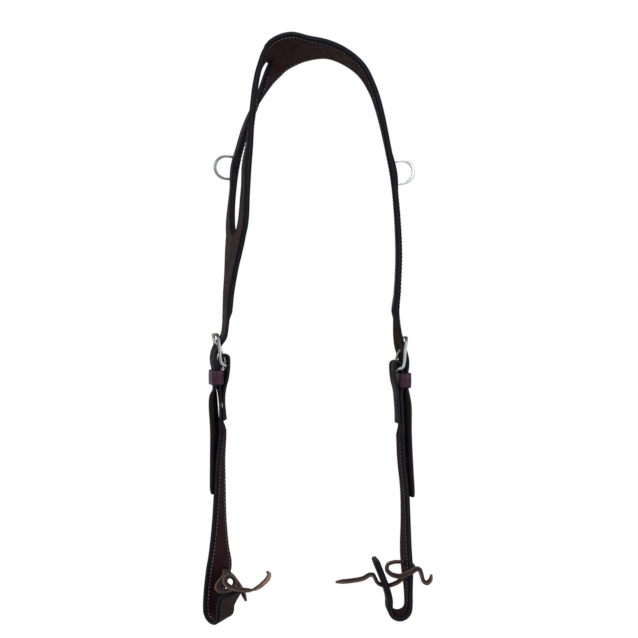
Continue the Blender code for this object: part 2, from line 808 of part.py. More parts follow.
def make_cheek(side, parts, cutters, leather, lining_leather):
    strap = cheek_line(side)
    shares = (-0.5, 0, 0.5)
    outer = ply(f"cheek_strap_{side}", strap, 0, cheek_ply, shares, parts, leather)
    fold = int(np.argmax(strap.centres[:, 2]))
    chape_end = strap.centres[0][2]
    first = next(i for i in range(fold, len(strap.centres)) if strap.centres[i][2] < chape_end)
    under = strap.part(first, len(strap.centres))
    under.centres[0] -= under.ways[0] * (chape_end - under.centres[0][2] - 3 * gap)
    height = -(cheek_ply + cheek_lining_ply) / 2 - cheek_lining_gap
    lining = ply(f"cheek_lining_{side}", under, height, cheek_lining_ply, shares, parts, lining_leather)

    folded, lean = of_side(fold_rise, side), of_side(buckle_lean, side)
    middle = at_buckle(side, 0, -folded / 2)
    along, across, out = Vector((0, 0, 1)), width_way(side, lean), outward_way(side, lean)
    slot_height = folded + front_at_bar + cheek_ply + 2 * tongue_reach()
    size = (slot_height, tongue_wire + 2 * tongue_side_clearance, 2 * (front_at_keeper + cheek_ply))
    cut(outer, cutter_box(f"tongue_slot_cutter_{side}", middle, along, across, out, size, cutters))
    return strap, outer, lining


def tongue_reach():
    """How far the tongue's eye reaches from the heel bar's axis."""
    return bar_radius + gap + tongue_wire + gap


# The buckle's side in profile: share of toe_out and share of toe_rise
buckle_side_shares = ((0, 0), (0.55, 0.04), (0.71, 0.24), (0.78, 0.55), (1, 1))
# The tongue's shaft from its eye to the toe bar: share of its place over the toe bar and of toe_rise
tongue_shaft_shares = ((0.025, 0.30), (0.222, 0.50), (0.597, 0.69), (0.92, 0.86), (1, 1))
# How the tongue thins towards its tip, as shares of its wire
tongue_tip_shares = (0.98, 0.94, 0.88, 0.78, 0.6)
# Where the tongue's eye starts round the heel bar, and the turn from each of its points to the next
eye_start = math.radians(205)
eye_turn = math.radians(27)


def make_buckle(side, parts, steel):
    half = billet_width / 2 + buckle_side_gap + bar_radius
    profile = [(toe_out * out_share, toe_rise * rise_share) for out_share, rise_share in buckle_side_shares]
    far = [at_buckle(side, out, -rise, half) for out, rise in profile]
    near = [at_buckle(side, out, -rise, -half) for out, rise in profile]
    line = rounded_corners(near[::-1] + far, frame_corner, 4)
    wire(f"buckle_frame_{side}", line, buckle_wire, parts, steel, closed=True, origin=heel_point(side))


def make_tongue(side, parts, steel):
    eye = bar_radius + gap + tongue_wire / 2
    angles = [eye_start + eye_turn * k for k in range(11)]
    round_bar = [(eye * math.cos(angle), -eye * math.sin(angle)) for angle in angles]
    on_toe = toe_out + eye
    shaft = [(on_toe * out_share, -toe_rise * rise_share) for out_share, rise_share in tongue_shaft_shares]
    shaft.append((on_toe, -toe_rise - tongue_overhang))
    smooth = through([(*p, 0) for p in [round_bar[-1], *shaft]], 4)[1:, :2].tolist()
    line = [at_buckle(side, out, drop) for out, drop in [*round_bar, *smooth]]
    radii = [1.0] * (len(line) - len(tongue_tip_shares)) + list(tongue_tip_shares)
    wire(f"buckle_tongue_{side}", line, tongue_wire, parts, steel, radii=radii, origin=heel_point(side))


def make_keeper(side, parts, leather):
    """A band of leather round the billet and the front of the chape."""
    half = billet_width / 2 + keeper_side_clearance + keeper_wall / 2
    inner, outer = keeper_inside - keeper_wall / 2, keeper_outside + keeper_wall / 2
    corners = [Vector((out, half * end, 0)) for out, end in ((inner, -1), (outer, -1), (outer, 1), (inner, 1))]
    outline = rounded_corners(corners, keeper_corner, 3)
    rows = []
    for drop in (keeper_bottom, keeper_drop):
        ring = [at_buckle(side, p.x, drop, p.y) for p in outline]
        rows.append(ring + ring[:1])
    mesh = sheet_mesh(f"keeper_{side}", rows)
    joined = bmesh.new()
    joined.from_mesh(mesh)
    bmesh.ops.remove_doubles(joined, verts=joined.verts, dist=gap / 10)
    bmesh.ops.recalc_face_normals(joined, faces=joined.faces)
    joined.to_mesh(mesh)
    joined.free()
    thing = add_mesh(f"keeper_{side}", mesh, parts, leather)
    thicken(thing, keeper_wall, edge_round / 2)


# Each lace's route as shares of lace_reach, from near the bit loop's centre: inwards, across, up,
# with its roll in degrees
lace_route_shares = {
    "right": (
        (1.066, -0.10, 0.462, 30),
        (0.80, -0.10, 0.480, 30),
        (0.60, -0.08, 0.510, 20),
        (0.49, -0.06, 0.562, 5),
        (0.425, -0.04, 0.555, 0),
        (0.385, -0.02, 0.49, 0),
        (0.345, 0.00, 0.42, 0),
        (0.26, 0.00, 0.37, 0),
        (0.16, 0.00, 0.366, 0),
        (0.02, 0.00, 0.41, 0),
        (-0.09, 0.00, 0.485, 0),
        (-0.175, 0.00, 0.53, 0),
        (-0.245, 0.00, 0.575, 0),
        (-0.278, 0.00, 0.64, 0),
        (-0.24, 0.00, 0.715, 0),
        (-0.165, 0.00, 0.745, 0),
        (-0.07, 0.01, 0.755, 0),
        (0.06, 0.02, 0.755, 0),
        (0.165, 0.02, 0.715, 0),
        (0.185, -0.01, 0.635, 0),
        (0.13, -0.08, 0.575, 15),
        (0.06, -0.17, 0.56, 45),
        (0.00, -0.27, 0.572, 75),
        (-0.08, -0.315, 0.61, 90),
        (-0.18, -0.322, 0.655, 90),
        (-0.27, -0.285, 0.69, 70),
        (-0.335, -0.23, 0.655, 40),
        (-0.372, -0.20, 0.56, 20),
        (-0.405, -0.18, 0.465, 8),
        (-0.465, -0.17, 0.43, 4),
        (-0.525, -0.16, 0.48, 8),
        (-0.545, -0.15, 0.57, 12),
    ),
    "left": (
        (0.212, 0.315, 0.174, 106),
        (0.167, 0.308, 0.273, 105),
        (0.070, 0.324, 0.364, 103),
        (-0.072, 0.348, 0.448, 100),
        (-0.201, 0.356, 0.527, 98),
        (-0.316, 0.321, 0.597, 88),
        (-0.350, 0.260, 0.650, 64),
        (-0.345, 0.180, 0.685, 38),
        (-0.290, 0.100, 0.700, 15),
        (-0.200, 0.085, 0.700, 2),
        (-0.125, 0.085, 0.690, 0),
        (-0.08, 0.08, 0.685, 0),
        (-0.02, 0.055, 0.655, 0),
        (0.0, 0.0, 0.595, 0),
        (0.0, -0.075, 0.53, 0),
        (0.01, -0.14, 0.47, 0),
        (0.04, -0.16, 0.42, 0),
        (0.11, -0.14, 0.395, 0),
        (0.20, -0.105, 0.40, 0),
        (0.29, -0.06, 0.425, 5),
        (0.345, 0.01, 0.435, 12),
        (0.375, 0.09, 0.42, 22),
        (0.40, 0.18, 0.40, 30),
        (0.425, 0.28, 0.40, 30),
        (0.46, 0.37, 0.435, 30),
        (0.505, 0.45, 0.50, 30),
        (0.545, 0.51, 0.575, 28),
        (0.555, 0.53, 0.65, 25),
        (0.525, 0.50, 0.695, 20),
    ),
}


def lace_line(side):
    """The lace's middle line, with the ways across and out of it."""
    lean = of_side(bit_loop_lean, side)
    rows = []
    for inwards, across, rise, roll in lace_route_shares[side]:
        rows.append((*at_lace(side, inwards, across, rise), roll))
    made = stations(rows, lace_step, turn_step)
    ways = directions(made[:, :3])
    beside = np.array(width_way(side, lean))
    level = beside - (ways @ beside)[:, None] * ways
    level = level / np.linalg.norm(level, axis=1)[:, None]
    upright = np.cross(ways, level)
    rolls = np.radians(made[:, 3])
    across = level * np.cos(rolls)[:, None] + upright * np.sin(rolls)[:, None]
    widths = np.full(len(made), lace_width)
    widths[[0, -1]] = lace_tip_width
    return Strap(made[:, :3], across, widths)


def make_lace(side, parts, leather):
    strap = lace_line(side)
    rows = []
    for i, centre in enumerate(strap.centres):
        rows.append([centre + strap.across[i] * strap.widths[i] * share for share in (-0.5, 0.5)])
    thing = add_mesh(f"tie_lace_{side}", sheet_mesh(f"tie_lace_{side}", rows), parts, leather)
    thicken(thing, lace_thickness, 0)


# Where each lace goes through leather, as shares of lace_reach: inwards, across and up
tie_slit_shares = {
    "right": ((0.26, 0.00, 0.37), (-0.175, 0.00, 0.53), (-0.165, 0.00, 0.745)),
    "left": ((-0.125, 0.085, 0.69),),
}


def cut_tie_slits(side, outer, lining, cutters):
    lean = of_side(bit_loop_lean, side)
    ways = (Vector((0, 0, 1)), width_way(side, lean), outward_way(side, lean))
    size = (
        lace_thickness + 6 * lace_clearance,
        lace_width + 2 * lace_clearance,
        3 * (cheek_ply + cheek_lining_ply + overrun / 4),
    )
    for k, place in enumerate(tie_slit_shares[side]):
        slit = cutter_box(f"tie_slit_cutter_{side}_{k + 1}", at_lace(side, *place), *ways, size, cutters)
        cut(outer, slit)
        cut(lining, slit)


def main():
    clear_scene()
    parts = new_collection("western_headstall")
    cutters = new_collection("cutters")
    leather = finish("strap_leather", (0.035, 0.018, 0.018), 0.45)
    lining_leather = finish("lining_leather", (0.045, 0.022, 0.022), 0.6)
    keeper_leather = finish("keeper_leather", (0.075, 0.03, 0.045), 0.35)
    lace_leather = finish("lace_leather", (0.09, 0.05, 0.04), 0.6)
    steel = finish("polished_steel", (0.6, 0.6, 0.6), 0.25, 1.0)
    crown, outer, lining = make_crown(parts, cutters, leather, lining_leather)
    for side in SIDES:
        make_dee(crown, side, outer, lining, parts, cutters, steel)
        _, cheek, cheek_lining = make_cheek(side, parts, cutters, leather, lining_leather)
        make_buckle(side, parts, steel)
        make_tongue(side, parts, steel)
        make_keeper(side, parts, keeper_leather)
        make_lace(side, parts, lace_leather)
        cut_tie_slits(side, cheek, cheek_lining, cutters)


main()
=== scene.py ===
# %% [markdown]
# # A western headstall with one split ear
#
# The headstall hangs from the middle of its crown strap, as it does over a horse's poll.
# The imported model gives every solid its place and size. This script dresses those solids:
# it makes each strap again with burnished edges and real thread, and gives every piece a finish.
# All lengths are in metres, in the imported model's own frame, so nothing has to be fitted.

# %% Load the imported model
import json
import math

import bmesh
import bpy
import numpy as np
from mathutils import Matrix, Vector


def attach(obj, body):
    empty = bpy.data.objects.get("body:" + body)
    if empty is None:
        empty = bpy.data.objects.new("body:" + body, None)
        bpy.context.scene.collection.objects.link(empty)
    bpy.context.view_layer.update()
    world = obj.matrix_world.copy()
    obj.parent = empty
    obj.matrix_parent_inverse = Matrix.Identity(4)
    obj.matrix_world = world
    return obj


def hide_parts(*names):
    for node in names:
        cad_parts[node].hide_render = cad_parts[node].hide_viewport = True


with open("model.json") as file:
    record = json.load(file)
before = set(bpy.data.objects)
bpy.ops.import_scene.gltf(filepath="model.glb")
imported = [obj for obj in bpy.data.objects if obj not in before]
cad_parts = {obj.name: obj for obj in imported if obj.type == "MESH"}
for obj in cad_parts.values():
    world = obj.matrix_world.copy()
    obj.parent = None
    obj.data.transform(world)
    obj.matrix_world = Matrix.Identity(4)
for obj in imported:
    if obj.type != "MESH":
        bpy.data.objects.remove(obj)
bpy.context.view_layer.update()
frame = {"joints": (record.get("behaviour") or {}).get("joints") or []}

scene = bpy.context.scene

# %% [markdown]
# ## The camera
#
# A camera that looks straight along +Y sees the hanging straps nearly edge on, as the photograph does.
# The lens is worked out from how many pixels a metre covers at the object's distance,
# because that keeps the perspective right: the far edges of the wide crown then show inside the near ones.

# %% Camera
image_size = 638
focal_pixels = 1309.5
sensor_width = 36.0
camera_place = (0.009, -1.100, -0.2248)


def add_object(name, data):
    """An object that is linked into the scene."""
    made = bpy.data.objects.new(name, data)
    scene.collection.objects.link(made)
    return made


lens = bpy.data.cameras.new("camera")
lens.sensor_width = sensor_width
lens.lens = focal_pixels / image_size * sensor_width
camera = add_object("camera", lens)
camera.location = camera_place
camera.rotation_euler = (math.pi / 2, 0, 0)
scene.camera = camera
print("lens of", round(lens.lens, 1), "mm")

# %% [markdown]
# ## Node helpers
#
# Every finish here is made of nodes that work in the object's own space or along a strap's length,
# so the pattern stays on the leather when the view or the pose changes.
# A few small helpers keep the node code short: each adds one kind of node, sets it and links it.

# %% Helpers for materials
def new_material(name):
    """A material with only its Principled shader, and the shader."""
    material = bpy.data.materials.new(name)
    material.use_nodes = True
    return material, material.node_tree.nodes["Principled BSDF"]


def add_node(material, kind, links=None, **settings):
    """A node with its settings. links maps an input's name to another node's output."""
    node = material.node_tree.nodes.new(kind)
    for key, value in settings.items():
        if hasattr(node, key):
            setattr(node, key, value)
        else:
            node.inputs[key.replace("_", " ")].default_value = value
    for socket, source in (links or {}).items():
        material.node_tree.links.new(source, node.inputs[socket])
    return node


def link(material, source, target):
    material.node_tree.links.new(source, target)


def noise(material, place, scale, detail, roughness=0.5):
    """A noise texture's value at a place."""
    links = {} if place is None else {"Vector": place}
    node = add_node(material, "ShaderNodeTexNoise", links, Scale=scale, Detail=detail, Roughness=roughness)
    return node.outputs["Fac"]


def maths(material, operation, first, second=None):
    """The result of a sum on one value or two."""
    node = add_node(material, "ShaderNodeMath", {0: first}, operation=operation)
    if isinstance(second, bpy.types.NodeSocket):
        link(material, second, node.inputs[1])
    elif second is not None:
        node.inputs[1].default_value = second
    return node.outputs[0]


def fade(material, value, start, end, strength):
    """Full strength up to a start, and none from an end."""
    limits = {"From_Min": start, "From_Max": end, "To_Min": strength, "To_Max": 0.0}
    return add_node(material, "ShaderNodeMapRange", {"Value": value}, **limits).outputs[0]


def ramp(material, factor, stops):
    """A colour ramp through (position, colour or grey) stops."""
    node = add_node(material, "ShaderNodeValToRGB", {"Fac": factor})
    elements = node.color_ramp.elements
    while len(elements) < len(stops):
        elements.new(0.5)
    for element, (position, colour) in zip(elements, stops):
        element.position = position
        element.color = (colour, colour, colour, 1) if isinstance(colour, (int, float)) else (*colour, 1)
    return node.outputs["Color"]


def mix_colour(material, factor, first, second, blend="MIX"):
    node = material.node_tree.nodes.new("ShaderNodeMix")
    node.data_type = "RGBA"
    node.blend_type = blend
    for socket, value in ((0, factor), (6, first), (7, second)):
        if isinstance(value, bpy.types.NodeSocket):
            link(material, value, node.inputs[socket])
        else:
            node.inputs[socket].default_value = value if socket == 0 else (*value, 1)
    return node.outputs[2]


def square_on(material, amount):
    """An amount of gloss that fades where a surface is seen at a low angle."""
    facing = add_node(material, "ShaderNodeLayerWeight", Blend=0.5).outputs["Facing"]
    return ramp(material, facing, ((0.3, amount), (0.85, amount * 0.05)))


def bump(material, height, strength, distance, under=None):
    node = add_node(material, "ShaderNodeBump", {"Height": height}, Strength=strength, Distance=distance)
    if under is not None:
        link(material, under, node.inputs["Normal"])
    return node.outputs["Normal"]


# %% [markdown]
# ## The floor, the background and the light
#
# A product photograph of dark tack is lit from all round with large soft lamps.
# The world gives that even light, and two wide lamps at the front and one above give the edges their shine.
# The background is white only to the camera and to reflections: more light on the leather would wash it out.
# The floor is a pale disc below the object, out of the photograph's view, and keeps its soft shadow.

# %% Light and stage
scene.view_settings.view_transform = "Standard"
world = bpy.data.worlds.new("studio")
scene.world = world
world.use_nodes = True
nodes = world.node_tree.nodes
backdrop = nodes["Background"]
backdrop.inputs["Color"].default_value = (1, 1, 1, 1)
backdrop.inputs["Strength"].default_value = 1
soft_light = add_node(world, "ShaderNodeBackground", Color=(0.93, 0.96, 1, 1), Strength=0.55)
rays = add_node(world, "ShaderNodeLightPath").outputs
reflected = maths(world, "MAXIMUM", rays["Is Glossy Ray"], rays["Is Transmission Ray"])
seen = maths(world, "MAXIMUM", rays["Is Camera Ray"], reflected)
shown = add_node(world, "ShaderNodeMixShader", {0: seen, 1: soft_light.outputs[0], 2: backdrop.outputs[0]})
link(world, shown.outputs[0], nodes["World Output"].inputs["Surface"])


def add_lamp(name, place, target, size, power):
    """A square soft lamp aimed at a point."""
    data = bpy.data.lights.new(name, "AREA")
    data.size = size
    data.energy = power
    lamp = add_object(name, data)
    lamp.location = place
    lamp.rotation_euler = (Vector(target) - Vector(place)).to_track_quat("-Z", "Y").to_euler()


middle = (0, 0, -0.25)
add_lamp("front_left", (-0.9, -1.3, 0.3), middle, 0.9, 9)
add_lamp("front_right", (1.0, -1.2, 0.1), middle, 0.9, 8)
add_lamp("above", (0.1, -0.2, 1.1), middle, 0.8, 7)

floor_drop, floor_radius = 0.62, 0.45
disc = bmesh.new()
bmesh.ops.create_circle(disc, cap_ends=True, segments=96, radius=floor_radius)
floor_mesh = bpy.data.meshes.new("floor")
disc.to_mesh(floor_mesh)
disc.free()
floor = add_object("floor", floor_mesh)
floor.location = (0, 0, -floor_drop)
floor_finish, shader = new_material("pale_floor")
mottle = ramp(floor_finish, noise(floor_finish, None, 7.0, 3.0), ((0, 0.86), (1, 0.9)))
link(floor_finish, mottle, shader.inputs["Base Color"])
shader.inputs["Roughness"].default_value = 0.9
floor_mesh.materials.append(floor_finish)
print("floor", floor_drop, "m under the crown")

# %% [markdown]
# ## Leather finishes
#
# Bridle leather is dyed through and burnished on its cut edges.
# Its grain side shows fine pebbles and a few soft wrinkles, the lining is a little redder and duller,
# and the edges are painted almost black, with a painted highlight down the middle of each edge and a fine
# dark seam where the two plies meet.
# A strap carries two measures as its UV map: how far a point is from the nearest cut edge,
# and how far along the strap it is.
# The finishes use them for what follows an edge, and the object's own space for the grain.

# %% Grain leather
# Where beside a cut edge the rubbing starts to fade and ends, and how strong it is
rub_start, rub_end, rub_strength = 0.0022, 0.0052, 0.55


def leather_coordinates(material):
    """Object-space coordinates, and the distance from the cut edge and the length along the strap."""
    place = add_node(material, "ShaderNodeTexCoord")
    split = add_node(material, "ShaderNodeSeparateXYZ", {"Vector": place.outputs["UV"]})
    return place.outputs["Object"], split.outputs["X"], split.outputs["Y"]


def grain_leather(name, dark, light, rub, roughness, specular, pebble=900.0, grain_depth=0.00012):
    """Dyed leather with pebbled grain, soft wrinkles, cloudy dye and a rubbed line beside its edges."""
    material, shader = new_material(name)
    place, from_edge, _ = leather_coordinates(material)
    cloud = noise(material, place, 55.0, 5.0, 0.6)
    dye = ramp(material, cloud, ((0.3, dark), (0.72, light)))
    voronoi = add_node(material, "ShaderNodeTexVoronoi", {"Vector": place}, feature="SMOOTH_F1", Scale=pebble)
    pebbles = voronoi.outputs["Distance"]
    valley = ramp(material, pebbles, ((0.25, 1), (0.75, 0.72)))
    colour = mix_colour(material, 1.0, dye, valley, "MULTIPLY")
    near_edge = fade(material, from_edge, rub_start, rub_end, rub_strength)
    worn = maths(material, "MULTIPLY", near_edge, cloud)
    link(material, mix_colour(material, worn, colour, rub), shader.inputs["Base Color"])
    patches = noise(material, place, 170.0, 3.0)
    sheen = ramp(material, patches, ((0.3, roughness - 0.08), (0.7, roughness + 0.1)))
    link(material, sheen, shader.inputs["Roughness"])
    link(material, square_on(material, specular), shader.inputs["Specular IOR Level"])
    wrinkles = noise(material, place, 330.0, 6.0, 0.62)
    relief = bump(material, wrinkles, 0.55, grain_depth * 2)
    relief = bump(material, pebbles, 0.5, grain_depth, relief)
    link(material, relief, shader.inputs["Normal"])
    return material


strap_face = grain_leather(
    "strap_face", (0.012, 0.0046, 0.0056), (0.026, 0.0105, 0.0125), (0.040, 0.019, 0.019), 0.5, 0.09
)
strap_back = grain_leather(
    "strap_back", (0.013, 0.0036, 0.0046), (0.027, 0.0082, 0.0098), (0.034, 0.0145, 0.0135), 0.6, 0.05, 700.0
)
keeper_face = grain_leather(
    "keeper_face", (0.015, 0.0035, 0.0085), (0.036, 0.0095, 0.02), (0.06, 0.022, 0.036), 0.34, 0.14, 800.0
)
billet_flesh = grain_leather(
    "billet_flesh", (0.013, 0.0075, 0.0055), (0.034, 0.021, 0.014), (0.045, 0.03, 0.021), 0.75, 0.04, 1500.0
)


# %% Burnished edge
# How far from the middle of an edge the painted highlight stripe fades,
# then the depth of the plies' seam, its half-width, where it ends and its strength
highlight_stripe_start, highlight_stripe_end = 0.0002, 0.0012
seam_depth, seam_core, seam_end, seam_strength = 0.00045, 0.00006, 0.0002, 0.8
streak_scale = (2600, 120, 1)


def burnished_edge(name, paint, painted_highlight, seam=None):
    """Edge paint with a painted highlight down the middle, the plies' fine dark seam and streaks along the
    strap.
    """
    material, shader = new_material(name)
    place, height, along = leather_coordinates(material)
    stretched = add_node(material, "ShaderNodeCombineXYZ", {"X": height, "Y": along})
    longways = add_node(material, "ShaderNodeMapping", {"Vector": stretched.outputs[0]})
    longways.inputs["Scale"].default_value = streak_scale
    streaks = noise(material, longways.outputs[0], 1.0, 4.0)
    blotches = noise(material, place, 140.0, 4.0)
    # Painted highlight: the edge colour is paler down its middle, where the rounded edge would catch the
    # light
    centre = fade(material, maths(material, "ABSOLUTE", height), highlight_stripe_start, highlight_stripe_end, 1.0)
    colour = mix_colour(material, maths(material, "MULTIPLY", centre, blotches), paint, painted_highlight)
    streak = ramp(material, streaks, ((0.3, 0.72), (0.7, 1.15)))
    colour = mix_colour(material, 1.0, colour, streak, "MULTIPLY")
    if seam is not None:
        from_seam = maths(material, "ABSOLUTE", maths(material, "ADD", height, seam_depth))
        near_seam = fade(material, from_seam, seam_core, seam_end, seam_strength)
        colour = mix_colour(material, near_seam, colour, seam)
    link(material, colour, shader.inputs["Base Color"])
    gloss = ramp(material, blotches, ((0.3, 0.34), (0.7, 0.52)))
    link(material, gloss, shader.inputs["Roughness"])
    link(material, square_on(material, 0.06), shader.inputs["Specular IOR Level"])
    link(material, bump(material, streaks, 0.5, 0.00012), shader.inputs["Normal"])
    return material


# The second colour of each edge is its painted highlight down the middle
strap_edge = burnished_edge(
    "strap_edge", (0.0022, 0.0022, 0.0045), (0.022, 0.022, 0.039), (0.0012, 0.001, 0.0014)
)
billet_edge = burnished_edge("billet_edge", (0.0024, 0.0024, 0.0042), (0.024, 0.022, 0.033))
STRAP_FINISHES = (strap_face, strap_back, strap_edge, billet_flesh, billet_edge)
print("strap finishes:", strap_face.name, strap_back.name, strap_edge.name)

# %% [markdown]
# ## Smooth routes
#
# A strap is a route through a few known places: its width and its twist change along it as well.
# A spline through the places gives the route, and stations along it are set closer where it bends,
# so that a tight fold stays round and a straight stretch stays light.

# %% Routes
def unit(rows):
    """Directions, each made one long."""
    return rows / np.linalg.norm(rows, axis=-1, keepdims=True)


def lengths_along(points):
    """How far along a line each of its points is."""
    return np.concatenate([[0], np.cumsum(np.linalg.norm(np.diff(points, axis=0), axis=1))])


def at_lengths(wanted, lengths, values):
    """The values that a line has at the wanted lengths, or at one length."""
    return np.array([np.interp(wanted, lengths, column) for column in values.T]).T


def through(rows, per_row=40):
    """A smooth curve through rows of numbers, of which the first three are a place, as a denser array."""
    rows = np.array(rows, float)
    ends = np.vstack([2 * rows[0] - rows[1], rows, 2 * rows[-1] - rows[-2]])
    knots = np.concatenate([[0], np.cumsum(np.sqrt(np.linalg.norm(np.diff(ends[:, :3], axis=0), axis=1)))])
    made = []
    for i in range(1, len(ends) - 2):
        a, b, c, d = ends[i - 1 : i + 3]
        ta, tb, tc, td = knots[i - 1 : i + 3]
        t = np.linspace(tb, tc, per_row, endpoint=False)[:, None]
        ab = a + (b - a) * (t - ta) / (tb - ta)
        bc = b + (c - b) * (t - tb) / (tc - tb)
        cd = c + (d - c) * (t - tc) / (td - tc)
        abc = ab + (bc - ab) * (t - ta) / (tc - ta)
        bcd = bc + (cd - bc) * (t - tb) / (td - tb)
        made.append(abc + (bcd - abc) * (t - tb) / (tc - tb))
    return np.vstack([*made, rows[-1:]])


def stations(rows, step, turn, near_ends=()):
    """Stations along a route, and the length at each: one each step, more in bends and near both ends."""
    fine = through(rows)
    steps = np.diff(fine[:, :3], axis=0)
    lengths = np.linalg.norm(steps, axis=1)
    ways = steps / lengths[:, None]
    at = np.concatenate([[0], np.cumsum(lengths)])
    wanted, travelled, turned = [0.0], 0.0, 0.0
    for i in range(1, len(ways)):
        travelled += lengths[i - 1]
        turned += math.acos(min(1, float(ways[i] @ ways[i - 1])))
        if travelled >= step or turned >= turn:
            wanted.append(at[i])
            travelled, turned = 0.0, 0.0
    if travelled < step / 3:
        wanted.pop()
    wanted += [at[-1], *near_ends, *(at[-1] - end for end in near_ends)]
    wanted = np.unique(np.round(wanted, 7))
    return at_lengths(wanted, at, fine), wanted


def directions(points):
    """The direction of travel at each point."""
    return unit(np.gradient(points, axis=0))


def square_to(ways, across):
    """The ways across a strap, made square to its direction of travel."""
    return unit(across - np.sum(across * ways, axis=1)[:, None] * ways)


# %% [markdown]
# ## Places on the buckles and the cheek straps
#
# Both sides share one construction: a chape folded over the heel bar, a bit loop, and a lace that closes it.
# The two sides hang a little differently, so each has its own row of places.
# The sizes repeat those of the solids, so that a dressed piece lies over its solid, but a few differ.
# Here the left flap stands 2 mm taller, the slits for the laces are 1.8 mm shorter, and the turned end of the
# chape lies 0.5 mm closer. Each tail of the crown and the right cheek strap follows one more place.

# %% Sizes of the cheek straps and buckles
SIDES = ("left", "right")
crown_ply, crown_lining_ply, cheek_ply, cheek_lining_ply = 0.0028, 0.0020, 0.0026, 0.0016
gap, cheek_lining_gap, turned_gap = 0.0003, 0.00045, 0.0003
billet_width, buckle_wire, tongue_wire = 0.016, 0.0026, 0.0020
heel_out, heel_drop = (0.0709, 0.0734), (0.2639, 0.2664)
toe_rise, toe_out = 0.0261, 0.0071
buckle_lean = (math.radians(-15), math.radians(10))
fold_rise, chape_length = (0.0060, 0.0031), 0.046
keeper_wall, keeper_height, keeper_drop, keeper_step = 0.0018, 0.0127, 0.0034, 0.0021
cheek_drop, cheek_stand_off, paddle_width = (0.2032, 0.1989), 0.010, 0.026
loop_width, loop_radius = 0.0165, 0.0093
loop_out, loop_depth = (0.0039, 0.0025), (-0.004, 0.0)
loop_lean, loop_tilt = (math.radians(47), math.radians(6)), (math.radians(20), math.radians(15))
flap_rise, flap_flare, flap_width = (0.0155, 0.0395), (0.0075, 0.0117), 0.022
# How much further the far edge of the flap runs than its middle, as a share of the way across
flap_slant = (0.30, 0.0)

bar_radius = buckle_wire / 2
front_at_bar = bar_radius + gap + cheek_ply / 2
front_at_keeper = front_at_bar + keeper_step
keeper_inside = front_at_keeper - cheek_ply / 2 - gap
on_cheek = cheek_ply / 2 + gap + crown_ply / 2
billet_at_keeper = front_at_keeper + on_cheek
keeper_outside = billet_at_keeper + crown_ply / 2 + gap
billet_under_toe = toe_out - bar_radius - gap - crown_ply / 2
keeper_bottom = keeper_drop + keeper_height


def outward(side):
    return -1 if side == "left" else 1


def of_side(values, side):
    return values[SIDES.index(side)]


def width_way(side, lean):
    """Across a hanging strap, from its near edge to its far edge."""
    return Vector((-outward(side) * math.sin(lean), math.cos(lean), 0))


def outward_way(side, lean):
    """Away from the head, square to the strap."""
    return Vector((outward(side) * math.cos(lean), math.sin(lean), 0))


def heel_point(side):
    return Vector((outward(side) * of_side(heel_out, side), 0, -of_side(heel_drop, side)))


def at_buckle(side, out, drop, across=0.0):
    """A point given from the middle of the heel bar."""
    lean = of_side(buckle_lean, side)
    along = across * width_way(side, lean)
    return heel_point(side) + out * outward_way(side, lean) + along - Vector((0, 0, drop))


def at_loop(side, inwards, rise):
    """A point given from the centre of the bit loop."""
    centre = heel_point(side) + Vector(
        (outward(side) * of_side(loop_out, side), of_side(loop_depth, side), -of_side(cheek_drop, side))
    )
    return centre - inwards * outward_way(side, of_side(loop_lean, side)) + Vector((0, 0, rise))


for side in SIDES:
    print(side, "heel bar at", [round(v, 4) for v in heel_point(side)])

# %% Routes of the cheek straps
# Share of the drop, share of the stand-off, lean in degrees, share of paddle_width, share of the loop's depth
cheek_route_shares = {
    "left": (
        (0.107, 0.37, -10, 0.615, 0),
        (0.149, 0.31, -6, 0.615, 0),
        (0.262, 0.21, 5, 0.615, 0),
        (0.383, 0.38, 14, 0.615, 0),
        (0.508, 0.43, 22, 0.63, 0),
        (0.630, 0.47, 27, 0.71, 0),
        (0.751, 0.48, 37, 0.86, 0.1),
        (0.833, 0.48, 47, 1.0, 0.3),
        (0.906, 0.80, 47, 0.87, 0.75),
    ),
    "right": (
        (0.096, 0.36, 9, 0.615, 0),
        (0.172, 0.42, 7, 0.615, 0),
        (0.260, 0.49, 11, 0.615, 0),
        (0.384, 0.60, 12, 0.615, 0),
        (0.509, 0.85, 12, 0.63, 0),
        (0.634, 0.93, 12, 0.71, 0),
        (0.758, 0.95, 14, 0.86, 0),
        (0.853, 1.06, 11, 1.0, 0.3),
        (0.930, 1.15, 7, 0.84, 0.8),
    ),
}
# The flap above the bit loop: share of its rise, of its flare and of its width
flap_shares = ((0.15, 0.0, 0.82), (0.39, 0.21, 0.86), (0.65, 0.54, 0.93), (0.90, 0.88, 1.0), (1.0, 1.0, 0.94))
turned_length_shares = (1.0, 0.84, 0.68, 0.53)
# Behind the keeper: share of the way in to the fold, share of the keeper's drop
turned_shares = ((-0.15, 1.16), (0.66, 0.58), (0.97, 0.08))
# Steps of the route round the fold and round the bit loop, and the loop's upper width as a share
fold_rows, loop_rows, loop_top_share = 6, 9, 0.75


def front_rows(side):
    """The cheek strap's outer ply from the keeper down to the bit loop: place, lean and width."""
    lean = math.degrees(of_side(buckle_lean, side))
    rows = [
        (*at_buckle(side, front_at_keeper, drop), lean, billet_width) for drop in (keeper_drop, keeper_bottom)
    ]
    leg_depth = of_side(loop_depth, side) + loop_radius * math.sin(of_side(loop_lean, side))
    for drop_share, out_share, turn, width_share, depth_share in cheek_route_shares[side]:
        place = Vector(
            (
                outward(side) * cheek_stand_off * out_share,
                leg_depth * depth_share,
                -of_side(cheek_drop, side) * drop_share,
            )
        )
        rows.append((*(heel_point(side) + place), turn, paddle_width * width_share))
    return rows


def beside_front(side, drop, offset):
    """A point out from the middle of the cheek strap's outer ply, and the lean there in degrees."""
    path = through(front_rows(side), 12)
    height = heel_point(side).z - drop
    x, y, lean = (np.interp(-height, -path[:, 2], path[:, column]) for column in (0, 1, 3))
    return Vector((x, y, height)) + offset * outward_way(side, math.radians(lean)), lean


